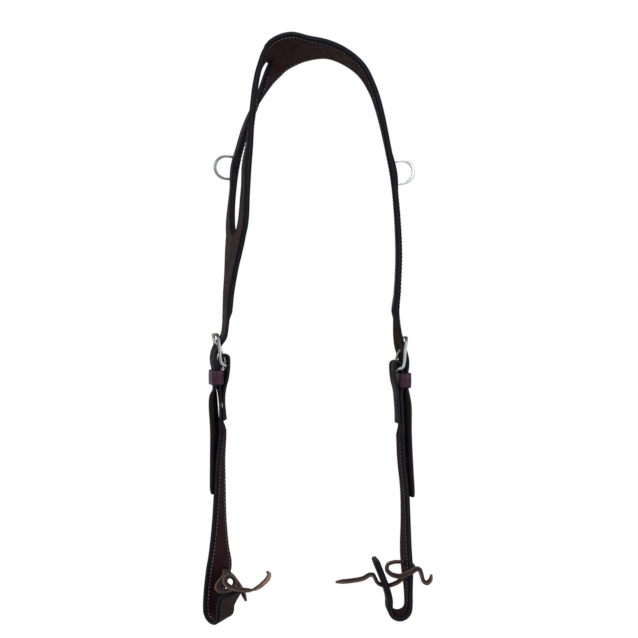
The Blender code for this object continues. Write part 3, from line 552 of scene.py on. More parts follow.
def cheek_rows(side):
    """The whole outer ply: turned chape, fold over the heel bar, strap, bit loop and flap."""
    lean = math.degrees(of_side(buckle_lean, side))
    rows = []
    for length_share in turned_length_shares:
        point, turn = beside_front(side, chape_length * length_share, -cheek_ply - turned_gap)
        rows.append((*point, turn, billet_width))
    for out_share, drop_share in turned_shares:
        point = at_buckle(side, -front_at_bar * out_share, keeper_bottom * drop_share)
        rows.append((*point, lean, billet_width))
    for k in range(fold_rows + 1):
        angle = math.pi * k / fold_rows
        out = -front_at_bar * math.cos(angle)
        rise = of_side(fold_rise, side) + front_at_bar * math.sin(angle)
        rows.append((*at_buckle(side, out, -rise), lean, billet_width))
    rows.append((*at_buckle(side, front_at_bar, -bar_radius), lean, billet_width))
    rows += front_rows(side)
    turn = math.degrees(of_side(loop_lean, side))
    for k in range(loop_rows + 1):
        angle = math.pi * k / loop_rows
        beside = paddle_width * loop_top_share if k <= loop_rows / 2 else flap_width * flap_shares[0][2]
        width = loop_width + (beside - loop_width) * math.cos(angle) ** 2
        point = at_loop(side, -loop_radius * math.cos(angle), -loop_radius * math.sin(angle))
        rows.append((*point, turn, width))
    rise, flare = of_side(flap_rise, side), of_side(flap_flare, side)
    for rise_share, flare_share, width_share in flap_shares:
        point = at_loop(side, loop_radius + flare * flare_share, rise * rise_share)
        rows.append((*point, turn, flap_width * width_share))
    return rows


# %% [markdown]
# ## A ply of leather as two skins
#
# A cut strap isn't a box: its edges are beaten and rubbed until they are round.
# A flat sheet with a Solidify and a Bevel modifier would give every strap the same corner,
# but here the rounding has to grow with the thickness, which changes where a lining ends.
# So each ply is made as an outer and an inner skin over one grid. Along every cut edge, also round a slit,
# the two skins share their points, and they part from there as a round edge does.
# Columns are set close together at an edge and at the line of stitches, which lies in a shallow groove.

# %% Skins
edge_squareness, on_edge = 2.3, 1e-7
stitch_inset = 0.0031
groove_width, groove_depth = 0.0013, 0.00042
beside_stitch = 0.0002
edge_columns = (
    *(0, 0.00012, 0.0004, 0.0009, 0.0016, 0.0025),
    *(stitch_inset - beside_stitch, stitch_inset, stitch_inset + beside_stitch, 0.0040),
)
STITCH_COLUMN = edge_columns.index(stitch_inset)


def strip_columns(low, high):
    """Columns between two cut edges: close together beside each, with two more in the middle."""
    width = high - low
    shrink = min(1, width / (2.5 * edge_columns[-1]))
    beside = [column * shrink for column in edge_columns]
    inner = [width * share for share in (0.4, 0.6)]
    if width <= 2.6 * edge_columns[-1]:
        inner = [width * 0.5, width * 0.5 + 1e-5]
    return [low + v for v in (*beside, *inner, *(width - column for column in beside[::-1]))]


def quarter_round(share):
    """0 at a strap's end, rising to 1 as a quarter of a circle does."""
    return np.sqrt(np.clip(1 - (1 - np.clip(share, 0, 1)) ** 2, 0, 1))


def edge_rounding(distance, reach):
    """0 at a cut edge, rising to 1 where the burnished rounding ends."""
    share = np.clip(distance / reach, 0, 1)
    return (1 - (1 - share) ** edge_squareness) ** (1 / edge_squareness)


def smooth_mesh(name, points, faces, finishes):
    """A smooth mesh with a finish for each face."""
    mesh = bpy.data.meshes.new(name)
    mesh.from_pydata(points, [], faces)
    mesh.polygons.foreach_set("material_index", finishes)
    mesh.polygons.foreach_set("use_smooth", [True] * len(faces))
    mesh.update()
    return mesh


def skinned_mesh(
    name, outer, inner, shared, edge_reach, from_edge, height, along, plain=None, skipped=(), closed=False
):
    """A closed mesh of two skins over one grid. Points that are shared lie on a cut edge.

    Its faces have material 0 on the outer skin, 1 on the inner one and 2 on the rounded edges,
    and 3 and 4 on the inner skin and the edges of the rows that have one ply only.
    """
    rows, columns = shared.shape
    top = np.arange(rows * columns).reshape(rows, columns)
    bottom = np.where(shared, top, top + rows * columns)
    points = np.vstack([outer.reshape(-1, 3), inner.reshape(-1, 3)])
    faces, finishes, corners = [], [], []
    for i in range(rows if closed else rows - 1):
        following = (i + 1) % rows
        for j in range(columns - 1):
            if (i, j) in skipped:
                continue
            cell = ((i, j), (i, j + 1), (following, j + 1), (following, j))
            rim = sum(from_edge[c] for c in cell) / 4 < edge_reach[i]
            faces.append([top[c] for c in cell])
            faces.append([bottom[c] for c in cell[::-1]])
            single = plain is not None and plain[i]
            if rim:
                corners += [(height[c], along[c[0]]) for c in cell]
                corners += [(-height[c], along[c[0]]) for c in cell[::-1]]
                finishes += [4, 4] if single else [2, 2]
            else:
                corners += [(from_edge[c], along[c[0]]) for c in (*cell, *cell[::-1])]
                finishes += [0, 3 if single else 1]
    used = np.unique(np.concatenate(faces))
    renumbered = np.full(len(points), -1)
    renumbered[used] = np.arange(len(used))
    mesh = smooth_mesh(name, points[used].tolist(), [renumbered[face].tolist() for face in faces], finishes)
    mesh.uv_layers.new(name="edge_and_length").uv.foreach_set("vector", np.array(corners, np.float32).ravel())
    mesh.update()
    solid = bmesh.new()
    solid.from_mesh(mesh)
    bmesh.ops.recalc_face_normals(solid, faces=solid.faces)
    solid.to_mesh(mesh)
    solid.free()
    return mesh


def add_piece(name, data, materials, body, replaced=()):
    """A visible piece that rides on a body, and stands for the solids that it covers."""
    piece = add_object(name, data)
    for material in materials:
        data.materials.append(material)
    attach(piece, body)
    if replaced:
        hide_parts(*replaced)
    return piece


class Leather:
    """A strap laid out as a grid of places, with the heights of its two faces over its middle line."""

    def __init__(self, centres, lengths, columns, near, far, turn_over, outer_height, inner_height):
        rows = len(centres)
        self.lengths = lengths
        self.ways = directions(centres)
        near, far = square_to(self.ways, near), square_to(self.ways, far)
        columns = np.array(columns)
        half = np.where(columns[:, :, None] < 0, near[:, None, :], far[:, None, :])
        self.out = unit(turn_over * np.cross(self.ways[:, None, :], half))
        self.flat = centres[:, None, :] + half * columns[:, :, None]
        to_side = np.minimum(columns - columns[:, :1], columns[:, -1:] - columns)
        to_end = np.minimum(lengths - lengths[0], lengths[-1] - lengths)[:, None]
        self.from_edge = np.minimum(to_side, to_end)
        self.columns = columns
        self.outer_height, self.inner_height = outer_height, inner_height
        self.grooved = np.zeros((rows, columns.shape[1]))
        self.plain = np.zeros(rows, bool)
        self.skipped = set()

    def faces(self):
        """The points of the outer and the inner face, and how far the edges' rounding reaches at each row."""
        middle = ((self.outer_height + self.inner_height) / 2)[:, None]
        half = ((self.outer_height - self.inner_height) / 2)[:, None]
        reach = np.maximum(half * 0.95, 1e-5)
        full = edge_rounding(self.from_edge, reach)
        from_groove = (self.from_edge - stitch_inset) / groove_width * 2
        sunk = groove_depth * np.exp(-(from_groove**2)) * self.grooved
        outer = self.flat + self.out * (middle + half * full - sunk)[:, :, None]
        inner = self.flat + self.out * (middle - half * full + sunk)[:, :, None]
        self.height = half * full
        return outer, inner, reach[:, 0]

    def mesh(self, name):
        outer, inner, reach = self.faces()
        shared = self.from_edge < on_edge
        inner[shared] = outer[shared]
        measures = (reach, self.from_edge, self.height, self.lengths)
        return skinned_mesh(name, outer, inner, shared, *measures, self.plain, self.skipped)


# %% [markdown]
# ## Thread
#
# Each stitch is a short piece of waxed thread that comes up from one hole and dives into the next.
# A texture of dashes would look flat at the strap's edge, where the stitches stand out against the light,
# so every stitch is a small spindle of mesh, sunk at both ends and slanted a little, as an awl sets them.

# %% Stitches
pitch, stitch_length, thread_radius, slant = 0.0032, 0.0025, 0.00034, 0.0002
random = np.random.default_rng(11)


def stitches_along(points, out, side_way):
    """Spindles of thread along a line of points on a face, whose ways out and across are given."""
    lengths = lengths_along(points)
    count = int((lengths[-1] - stitch_length) / pitch)
    # Along a stitch: the place of each ring, how far it is sunk and how thick it is
    ring_places = np.array([-0.5, -0.4, -0.2, 0, 0.2, 0.4, 0.5])
    ring_rises = np.array([-1.8, -0.8, -0.2, -0.1, -0.2, -0.8, -1.8])
    ring_radii = np.array([0.25, 0.75, 1, 1.05, 1, 0.75, 0.25])
    sides = 8
    angles = np.arange(sides) * 2 * math.pi / sides
    verts, faces = [], []
    for k in range(count):
        centre = (k + 0.5) * pitch + (lengths[-1] - count * pitch) / 2 + random.normal(0, 0.00005)
        at = np.clip(centre + ring_places * stitch_length, 0, lengths[-1])
        line = at_lengths(at, lengths, points)
        up, beside = at_lengths(centre, lengths, out), at_lengths(centre, lengths, side_way)
        line += up * (ring_rises * thread_radius)[:, None] + beside * (ring_places * 2 * slant)[:, None]
        start = len(verts)
        for place, radius in zip(line, ring_radii * thread_radius * random.uniform(0.9, 1.1)):
            verts += [place + radius * (up * math.sin(a) + beside * math.cos(a)) for a in angles]
        for ring in range(len(ring_places) - 1):
            for n in range(sides):
                a, b = start + ring * sides + n, start + ring * sides + (n + 1) % sides
                faces.append((a, b, b + sides, a + sides))
        faces.append(tuple(range(start, start + sides))[::-1])
        faces.append(tuple(range(len(verts) - sides, len(verts))))
    return verts, faces


def stitch_mesh(name, lines):
    """One mesh of the stitches along several lines, each with its finish: 0 inside the strap, 1 outside."""
    verts, faces, finishes = [], [], []
    for points, out, side_way, finish in lines:
        if len(points) < 2:
            continue
        new_verts, new_faces = stitches_along(points, out, side_way)
        faces += [tuple(v + len(verts) for v in face) for face in new_faces]
        finishes += [finish] * len(new_faces)
        verts += new_verts
    return smooth_mesh(name, [tuple(v) for v in verts], faces, finishes)


def sew(name, lines):
    """Adds the stitches along several lines as one piece."""
    add_piece(name, stitch_mesh(name, lines), THREADS, "straps")


def face_lines(leather, columns, rows, faces=("outer", "inner")):
    """Lines for stitches down some columns of a strap, over a range of rows, on one face or both."""
    outer, inner, _ = leather.faces()
    lines = []
    for column in columns:
        ways_across = unit(np.gradient(leather.flat, axis=1)[rows, column])
        if "outer" in faces:
            lines.append((outer[rows, column], leather.out[rows, column], ways_across, 1))
        if "inner" in faces:
            lines.append((inner[rows, column], -leather.out[rows, column], ways_across, 0))
    return lines


def thread(name, soiled, clean):
    """Twisted waxed thread, soiled in places."""
    material, shader = new_material(name)
    place = add_node(material, "ShaderNodeTexCoord").outputs["Object"]
    twist = noise(material, place, 2600.0, 2.0)
    shade = ramp(material, noise(material, place, 90.0, 4.0), ((0.3, soiled), (0.7, clean)))
    strands = ramp(material, twist, ((0.3, 0.75), (0.7, 1.1)))
    link(material, mix_colour(material, 1.0, shade, strands, "MULTIPLY"), shader.inputs["Base Color"])
    shader.inputs["Roughness"].default_value = 0.6
    link(material, square_on(material, 0.3), shader.inputs["Specular IOR Level"])
    link(material, bump(material, twist, 0.5, 0.0001), shader.inputs["Normal"])
    return material


thread_inside = thread("waxed_thread", (0.13, 0.115, 0.105), (0.34, 0.31, 0.29))
# Stitches on the outer faces get a much darker copy of the same thread: painted shade
painted_shade_thread = thread("handled_thread", (0.018, 0.013, 0.013), (0.07, 0.055, 0.05))
THREADS = (thread_inside, painted_shade_thread)
print("thread of", thread_radius * 2000, "mm, a stitch every", pitch * 1000, "mm")

# %% [markdown]
# ## Cutting holes
#
# The holes for the buckle tongue, the slots for the hardware and the slits for the laces are punched
# through finished leather. A Boolean modifier does the same here, with a cutter for each hole,
# so the burnished edges and the stitches around it stay as they are.

# %% Punches
def cutter_box(middle, along, across, out, size):
    """A box with its sides along three ways square to each other."""
    block = bmesh.new()
    turn = Matrix((along, across, out)).transposed().to_4x4()
    place = Matrix.Translation(middle) @ turn @ Matrix.Diagonal((*size, 1))
    bmesh.ops.create_cube(block, size=1, matrix=place)
    return block


def cutter_rod(middle, axis, radius, length, stretch_way=None, stretch=0.0):
    """A round punch, or an oval one where it is stretched along a way."""
    rod = bmesh.new()
    bmesh.ops.create_cone(rod, cap_ends=True, segments=28, radius1=radius, radius2=radius, depth=length)
    turn = Vector(axis).to_track_quat("Z", "Y").to_matrix().to_4x4()
    bmesh.ops.transform(rod, matrix=Matrix.Translation(middle) @ turn, verts=rod.verts)
    if stretch_way is not None:
        for vert in rod.verts:
            vert.co += stretch_way * math.copysign(stretch / 2, (vert.co - Vector(middle)).dot(stretch_way))
    return rod


def punch(piece, cutters):
    """Cuts each punch out of a piece, and gives the cut faces the edge finish."""
    for number, block in enumerate(cutters):
        bmesh.ops.recalc_face_normals(block, faces=block.faces)
        mesh = bpy.data.meshes.new("punch")
        block.to_mesh(mesh)
        block.free()
        for material in piece.data.materials:
            mesh.materials.append(material)
        mesh.polygons.foreach_set("material_index", [2] * len(mesh.polygons))
        tool = add_object("punch", mesh)
        hole = piece.modifiers.new(f"hole_{number}", "BOOLEAN")
        hole.operation = "DIFFERENCE"
        hole.solver = "EXACT"
        hole.object = tool
        bpy.context.view_layer.update()
        shape = bpy.data.meshes.new_from_object(piece.evaluated_get(bpy.context.evaluated_depsgraph_get()))
        piece.modifiers.clear()
        old, piece.data = piece.data, shape
        shape.name = old.name
        bpy.data.meshes.remove(old)
        bpy.data.objects.remove(tool)


# %% [markdown]
# ## The cheek straps
#
# Each cheek strap starts as the chape: its end is turned over the heel bar and sewn down on the inside.
# Below the turned end a thin lining doubles the strap, and its lower end widens, turns up as the bit loop
# and ends in a flap. Outer ply and lining are sewn and burnished together, so they are one piece here,
# thicker from the place where the lining starts.

# %% Make the cheek straps
tongue_side_clearance = 0.0006
tongue_slot_width = tongue_wire + 2 * tongue_side_clearance
strap_step, strap_turn = 0.003, math.radians(12)
cheek_end_steps = (0.0001, 0.0004, 0.0009, 0.0018)
end_corner, lining_start, flap_slant_power = 0.0024, 0.006, 1.3
# Stations on each side of the fold that have no groove and no stitches
fold_clear = 8
STITCH_LINES = (STITCH_COLUMN, -1 - STITCH_COLUMN)


def make_cheek(side):
    made, lengths = stations(cheek_rows(side), strap_step, strap_turn, cheek_end_steps)
    centres = made[:, :3]
    across = np.array([width_way(side, lean) for lean in np.radians(made[:, 3])])
    centre_height = at_loop(side, 0, 0).z
    below = np.clip((centre_height - centres[:, 2]) / loop_radius, 0, 1)
    across[:, 2] += below * math.tan(of_side(loop_tilt, side))
    fold = int(np.argmax(centres[:, 2]))
    start = next(i for i in range(fold, len(centres)) if centres[i][2] < centres[0][2])
    lined = np.clip((lengths - lengths[start]) / lining_start, 0, 1)
    widths = made[:, 4].copy()
    for end in (lengths, lengths[-1] - lengths):
        widths -= end_corner * (1 - quarter_round(end / end_corner))
    columns = [strip_columns(-width / 2, width / 2) for width in widths]
    turn_over = -1 if side == "left" else 1
    outer_height = np.full(len(centres), cheek_ply / 2)
    inner_height = -cheek_ply / 2 - (cheek_lining_gap + cheek_lining_ply) * lined
    leather = Leather(centres, lengths, columns, across, across, turn_over, outer_height, inner_height)
    rise = of_side(flap_rise, side)
    up_flap = np.clip((lengths - (lengths[-1] - rise)) / rise, 0, 1)
    slanted = of_side(flap_slant, side) * up_flap**flap_slant_power
    leather.flat += leather.ways[:, None, :] * leather.columns[:, :, None] * slanted[:, None, None]
    leather.plain = lined < 0.5
    numbers = np.arange(len(centres))
    leather.grooved[np.abs(numbers - fold) > fold_clear] = 1
    name, solids = f"cheek_leather_{side}", (f"cheek_strap_{side}", f"cheek_lining_{side}")
    piece = add_piece(name, leather.mesh(name), STRAP_FINISHES, "straps", solids)
    folded = of_side(fold_rise, side)
    middle = at_buckle(side, 0, -folded / 2)
    reach = bar_radius + 2 * gap + tongue_wire
    height = folded + front_at_bar + cheek_ply + 2 * reach
    size = (height, tongue_slot_width, 2 * (front_at_keeper + cheek_ply))
    lean = of_side(buckle_lean, side)
    slot = cutter_box(middle, Vector((0, 0, 1)), width_way(side, lean), outward_way(side, lean), size)
    punch(piece, [slot])
    past_fold, flap_end = fold + fold_clear + 1, len(centres) - 3
    bend = flap_end
    if side == "right":
        bend = int(np.argmax(centres[:, 2] * (numbers > past_fold) < centre_height))
    lines = face_lines(leather, STITCH_LINES, slice(past_fold, flap_end), ("outer",))
    lines += face_lines(leather, STITCH_LINES, slice(start + 3, bend), ("inner",))
    lines += face_lines(leather, STITCH_LINES, slice(3, fold - fold_clear), ("outer",))
    sew(f"cheek_stitches_{side}", lines)
    print(side, "cheek strap:", len(centres), "stations,", round(lengths[-1] * 1000), "mm long")


for side in SIDES:
    make_cheek(side)

# %% [markdown]
# ## The crown strap
#
# One length of leather makes the crown and both billets. Over the poll it is wide and lined,
# beside the left ear it is split lengthwise so that the ear comes through, and the halves twist apart there.
# The grid has a line of cells down its middle: where the ear slot is open those cells are left out,
# and the skins close round the slot as round any cut edge.

# %% Route of the crown strap
head_half_breadth, crown_drop = 0.075, 0.264
ear_width, crown_width = 0.054, 0.046
slot_width, slot_end_width, slot_top_drop, slot_bottom_drop = 0.020, 0.0022, 0.007, 0.152
lining_end_drop, lining_fade, lining_skive = 0.2245, 0.022, 0.006
tail_length, tail_stand_off = 0.108, 0.0037
slot_swell, bulge_swell = 0.41, 0.6
dee_drop, dee_bulge, dee_bulge_length = (0.0970, 0.1027), 0.0014, 0.017
# Place across, height, width as a share of ear_width, then of crown_width, and the leans in degrees
# of the near half, of the slot and of the far half
ear_route_shares = (
    (-0.916, -0.828, 0.315, -20, -20, -20),
    (-0.864, -0.698, 0.426, -25, -25, -25),
    (-0.814, -0.573, 0.80, -23, -36, -19),
    (-0.786, -0.450, 1.0, -16, -31, -9),
    (-0.719, -0.315, 1.0, -11, -21, -14),
    (-0.608, -0.184, 0.967, 0, -2, -13),
    (-0.494, -0.049, 0.954, -3, 27, 26),
    (-0.380, -0.0135, 0.875, 18, 25, 32),
    (-0.186, 0.005, 0.852, 25, 25, 22),
)
# The same past the slot, where one lean does for all three
crown_route_shares = (
    (0.000, 0.0098, 0.98, 12),
    (0.215, 0.006, 0.90, 6),
    (0.412, -0.017, 0.82, 5),
    (0.593, -0.058, 0.73, 4),
    (0.711, -0.115, 0.63, 2),
    (0.787, -0.176, 0.56, 1),
    (0.890, -0.305, 0.44, -1),
    (0.966, -0.434, 0.40, -3),
    (1.012, -0.629, 0.35, 0),
    (0.998, -0.759, 0.35, 1),
    (0.985, -0.825, 0.35, 6),
)
# A tail below the keeper: share of tail_length, of tail_stand_off and of tail_twist
tail_shares = {
    "left": (
        (1.0, 0.12, 0.0), (0.73, 0.30, 0.3), (0.50, 0.72, 0.9), (0.28, 0.78, 1.6), (0.215, 0.62, 1.3),
    ),
    "right": (
        (1.0, 0.43, 0.0), (0.73, 0.60, 0.2), (0.50, 0.56, 0.4), (0.28, 0.80, 0.6), (0.215, 0.62, 0.5),
    ),
}
tail_twist = math.radians(14)
# The billet in the frame: share of toe_rise, of its place at the keeper or under the toe bar, of its twist
billet_rise_shares = {
    "left": ((0.06, 1.12, 0.25), (0.24, 1.13, 0.7), (0.46, 0.98, 1.0), (0.72, 0.55, 0.95)),
    "right": ((0.06, 1.03, 0.25), (0.24, 0.93, 0.7), (0.46, 0.72, 1.0), (0.72, 0.45, 0.95)),
}
billet_toe_shares = {
    "left": ((0.93, 0.10, 0.7), (1.18, -0.25, 0.4)),
    "right": ((0.93, 0.58, 0.7), (1.18, 0.34, 0.4)),
}
billet_twist = (math.radians(-6), math.radians(17))
tongue_hole_shares = ((0.663, 0.656), (0.625, 0.5625))


def billet_rows(side):
    """The billet from its tail, over the heel bar and through the frame, up to the crown's route."""
    lean = math.degrees(of_side(buckle_lean, side))
    rows = []
    for length_share, off_share, twist_share in tail_shares[side]:
        point, turn = beside_front(side, tail_length * length_share, tail_stand_off * off_share + on_cheek)
        rows.append((*point, turn + math.degrees(tail_twist) * twist_share))
    for drop in (keeper_bottom, (keeper_bottom + keeper_drop) / 2, keeper_drop):
        rows.append((*at_buckle(side, billet_at_keeper, drop), lean))
    twist = math.degrees(of_side(billet_twist, side))
    for shares, full_out in ((billet_rise_shares, billet_at_keeper), (billet_toe_shares, billet_under_toe)):
        for rise_share, out_share, twist_share in shares[side]:
            place = at_buckle(side, full_out * out_share, -toe_rise * rise_share)
            rows.append((*place, lean + twist * twist_share))
    return [(*row[:3], billet_width, row[3], row[3], row[3]) for row in rows]


over = []
for route, width in ((ear_route_shares, ear_width), (crown_route_shares, crown_width)):
    for x, z, width_share, *leans in route:
        leans = leans if len(leans) == 3 else leans * 3
        over.append((x * head_half_breadth, 0, z * crown_drop, width_share * width, *leans))
end_steps = (0.0001, 0.0004, 0.0009, 0.0018, 0.0035, 0.0055, 0.008)
crown_rows = billet_rows("left") + over + billet_rows("right")[::-1]
made, crown_lengths = stations(crown_rows, strap_step, strap_turn, end_steps)
crown_centres = made[:, :3]
ways = directions(crown_centres)
level = square_to(ways, np.array((0, 1, 0)))
up = np.cross(ways, level)
near, between, far = (
    level * np.cos(lean)[:, None] - up * np.sin(lean)[:, None] for lean in np.radians(made[:, 4:7].T)
)
print("crown strap:", len(made), "stations,", round(crown_lengths[-1] * 1000), "mm long")


# %% Ear slot, lining and bulges over the dees
def crossing(centres, lengths, drop, side):
    """How far along the strap it passes a drop below the crown, on one side."""
    found = []
    for i in range(len(centres) - 1):
        a, b = -centres[i][2], -centres[i + 1][2]
        if min(a, b) <= drop < max(a, b) and centres[i][0] * outward(side) > 0:
            found.append(lengths[i] + (drop - a) / (b - a) * (lengths[i + 1] - lengths[i]))
    return found[0]


drops = -crown_centres[:, 2]
slot_start = crossing(crown_centres, crown_lengths, slot_bottom_drop, "left")
slot_end = crossing(crown_centres, crown_lengths, slot_top_drop, "left")
slot_rows = [i for i, s in enumerate(crown_lengths) if slot_start <= s <= slot_end]
t = np.clip((crown_lengths - slot_start) / (slot_end - slot_start), 0, 1)
slot_half = (slot_end_width + (slot_width - slot_end_width) * np.sin(math.pi * t) ** slot_swell) / 2

base = (crown_lining_ply + gap) / 2
lift = base * np.clip((lining_end_drop - drops) / lining_fade, 0, 1)
lined = np.clip((lining_end_drop - drops) / lining_skive, 0, 1)
bulge = np.zeros(len(drops))
for side in SIDES:
    dee_at = crossing(crown_centres, crown_lengths, of_side(dee_drop, side), side)
    reach = np.clip((crown_lengths - dee_at) / dee_bulge_length, -1, 1)
    bulge += dee_bulge * (0.5 + 0.5 * np.cos(math.pi * reach)) ** bulge_swell
outer_height = lift + crown_ply / 2 + bulge
inner_height = lift - crown_ply / 2 - (gap + crown_lining_ply) * lined

# %% Make the crown strap
tip_length, tip_share, sewn_short = 0.008, 0.5, 0.004
from_tip = np.minimum(crown_lengths, crown_lengths[-1] - crown_lengths)
widths = made[:, 3] * (tip_share + (1 - tip_share) * quarter_round(from_tip / tip_length))
columns = []
for width, half in zip(widths, slot_half):
    half = min(half, width / 6)
    columns.append(strip_columns(-width / 2, -half) + strip_columns(half, width / 2))
per_strip = len(columns[0]) // 2
crown = Leather(crown_centres, crown_lengths, columns, near, far, 1, outer_height, inner_height)

# Between its halves the strap turns with the slot, and each half turns about its own edge of the slot
ways_between = square_to(ways, between)
offsets = np.array(columns)
within = np.clip(offsets, -slot_half[:, None], slot_half[:, None])
near_way, far_way = (square_to(ways, way)[:, None, :] for way in (near, far))
half_way = np.where(offsets[:, :, None] < 0, near_way, far_way)
crown.flat = (
    crown_centres[:, None, :]
    + ways_between[:, None, :] * within[:, :, None]
    + half_way * (offsets - within)[:, :, None]
)
aside = np.maximum(np.abs(offsets) - slot_half[:, None], 0)
beyond = np.maximum(np.maximum(slot_start - crown_lengths, crown_lengths - slot_end), 0)[:, None]
first_open, last_open = slot_rows[0], slot_rows[-1]
beyond[first_open : last_open + 1] = 0
crown.from_edge = np.minimum(crown.from_edge, np.hypot(aside, beyond))
crown.skipped = {(i, per_strip - 1) for i in range(first_open, last_open)}
crown.plain = drops > lining_end_drop - lining_skive / 2
sewn = drops < lining_end_drop - sewn_short
crown.grooved[sewn] = 1
name, solids = "crown_leather", ("crown_strap", "crown_lining")
crown_piece = add_piece(name, crown.mesh(name), STRAP_FINISHES, "straps", solids)

# %% [markdown]
# ## Dee rings
#
# A dee's straight bar lies between the crown's two plies, and its arms come out through two slits.
# Each is one bent wire, so a curve with a round section makes it, closed on itself.

# %% Steel
# Painted shade round a wire, darker on the inner side of its bend, and painted shade along a buckle's frame,
# which is dark at its toe
PAINTED_SHADE_ROUND_WIRE = ((0.0, 1.0), (0.2, 0.35), (0.45, 0.35), (0.65, 1.0), (1.0, 1.0))
PAINTED_SHADE_AT_TOE = ((0.0, 0.1), (0.06, 0.2), (0.12, 1.0), (0.88, 1.0), (0.94, 0.2), (1.0, 0.1))


def steel(name, tint, roughness, along_wire=None):
    """Nickel-plated steel: painted shade inside the bend of the wire, and along it where given, with fine
    scratches and a little haze.
    """
    material, shader = new_material(name)
    coordinates = add_node(material, "ShaderNodeTexCoord")
    place = coordinates.outputs["Object"]
    haze = noise(material, place, 60.0, 2.0, 0.4)
    dark = tuple(v * 0.8 for v in tint)
    clean = ramp(material, haze, ((0.3, dark), (0.62, tint)))
    round_wire = add_node(material, "ShaderNodeSeparateXYZ", {"Vector": coordinates.outputs["UV"]})
    # Painted shade: the wire's colour is darkened on the inner side of its bend
    painted_inner_shade = ramp(material, round_wire.outputs["Y"], PAINTED_SHADE_ROUND_WIRE)
    colour = mix_colour(material, 1.0, clean, painted_inner_shade, "MULTIPLY")
    # Painted shade along the wire, such as the buckle frame's dark toe
    if along_wire is not None:
        shade = ramp(material, round_wire.outputs["X"], along_wire)
        colour = mix_colour(material, 1.0, colour, shade, "MULTIPLY")
    link(material, colour, shader.inputs["Base Color"])
    spread = ramp(material, haze, ((0.3, roughness + 0.14), (0.7, roughness - 0.04)))
    link(material, spread, shader.inputs["Roughness"])
    shader.inputs["Metallic"].default_value = 1.0
    scratches = noise(material, place, 1500.0, 2.0)
    link(material, bump(material, scratches, 0.25, 0.00006), shader.inputs["Normal"])
    return material


plated_steel = steel("plated_steel", (0.66, 0.69, 0.71), 0.2)
# The buckle frame gets painted shade at its toe
frame_steel = steel("frame_steel", (0.62, 0.66, 0.68), 0.2, PAINTED_SHADE_AT_TOE)
tongue_steel = steel("tongue_steel", (0.50, 0.46, 0.36), 0.24)


def wire(name, points, thickness, material, body, replaced, closed=False, radii=None):
    """A bent wire as a curve with a round section."""
    curve = bpy.data.curves.new(name, "CURVE")
    curve.dimensions = "3D"
    curve.bevel_depth = thickness / 2
    curve.bevel_resolution = 6
    curve.use_fill_caps = not closed
    spline = curve.splines.new("POLY")
    spline.points.add(len(points) - 1)
    for i, point in enumerate(points):
        spline.points[i].co = (*point, 1)
        spline.points[i].radius = radii[i] if radii is not None else 1
    spline.use_cyclic_u = closed
    spline.use_smooth = True
    return add_piece(name, curve, (material,), body, (replaced,))


def rounded(corners, radius, steps, only=None):
    """A closed line through corners, each rounded by a small arc, or only those given."""
    made = []
    for i, corner in enumerate(corners):
        if only is not None and i not in only:
            made.append(corner)
            continue
        before, after = corners[i - 1], corners[(i + 1) % len(corners)]
        start = corner + (before - corner).normalized() * min(radius, (before - corner).length / 2)
        end = corner + (after - corner).normalized() * min(radius, (after - corner).length / 2)
        for k in range(steps + 1):
            t = k / steps
            made.append(start * (1 - t) ** 2 + corner * 2 * t * (1 - t) + end * t**2)
    kept = [made[0]]
    for point in made[1:]:
        if (point - kept[-1]).length > radius / 40:
            kept.append(point)
    return kept[:-1] if (kept[0] - kept[-1]).length < radius / 40 else kept


# %% Make the dees and cut their slits
dee_wire, dee_height, dee_reach, dee_corner, dee_clearance = 0.0025, 0.0215, 0.0173, 0.00175, 0.0003
dee_swing, dee_steps = math.radians(20), 32


def dee_frame(side):
    """The middle of a dee's bar as its solid has it, with the ways down it, across the strap and out."""
    joint = next(j for j in frame["joints"] if j["name"] == f"{side}_dee_swing")
    middle = Vector(joint["pos_m"])
    down = Vector(joint["axis"]).normalized()
    length = crossing(crown_centres, crown_lengths, of_side(dee_drop, side), side)
    across = Vector(at_lengths(length, crown_lengths, square_to(ways, far)))
    across = (across - across.dot(down) * down).normalized()
    out = across.cross(down) * outward(side) * -1
    return middle, down, across, out


def make_dee(side):
    middle, down, across, out = dee_frame(side)
    half = (dee_height - dee_wire) / 2
    straight = dee_reach - half
    line = [middle - down * half, middle + down * half]
    for k in range(dee_steps + 1):
        angle = math.pi * k / dee_steps
        line.append(middle + down * half * math.cos(angle) + out * (straight + half * math.sin(angle)))
    ring = rounded(line, dee_corner, 6, only=(0, 1))
    wire(f"dee_ring_{side}", ring, dee_wire, plated_steel, f"{side}_dee", f"dee_{side}", closed=True)
    round_bar = dee_wire / 2 + dee_clearance
    reach = crown_ply + dee_wire
    slit = 2 * (round_bar + math.tan(dee_swing) * (crown_ply + gap + dee_bulge / 2))
    cutters = [cutter_rod(middle, down, round_bar, dee_height + 4 * dee_clearance)]
    for end in (-1, 1):
        at = middle + down * half * end + out * reach / 2
        cutters.append(cutter_box(at, down, across, out, (2 * round_bar, slit, reach)))
    return cutters


crown_cutters = []
for side in SIDES:
    crown_cutters += make_dee(side)
print("dees", dee_height * 1000, "mm high;", len(crown_cutters), "cutters for them")

# %% [markdown]
# ## The billets' holes
#
# The tongue stands in one oval hole, and three spare holes down the tail let the cheek be made longer.

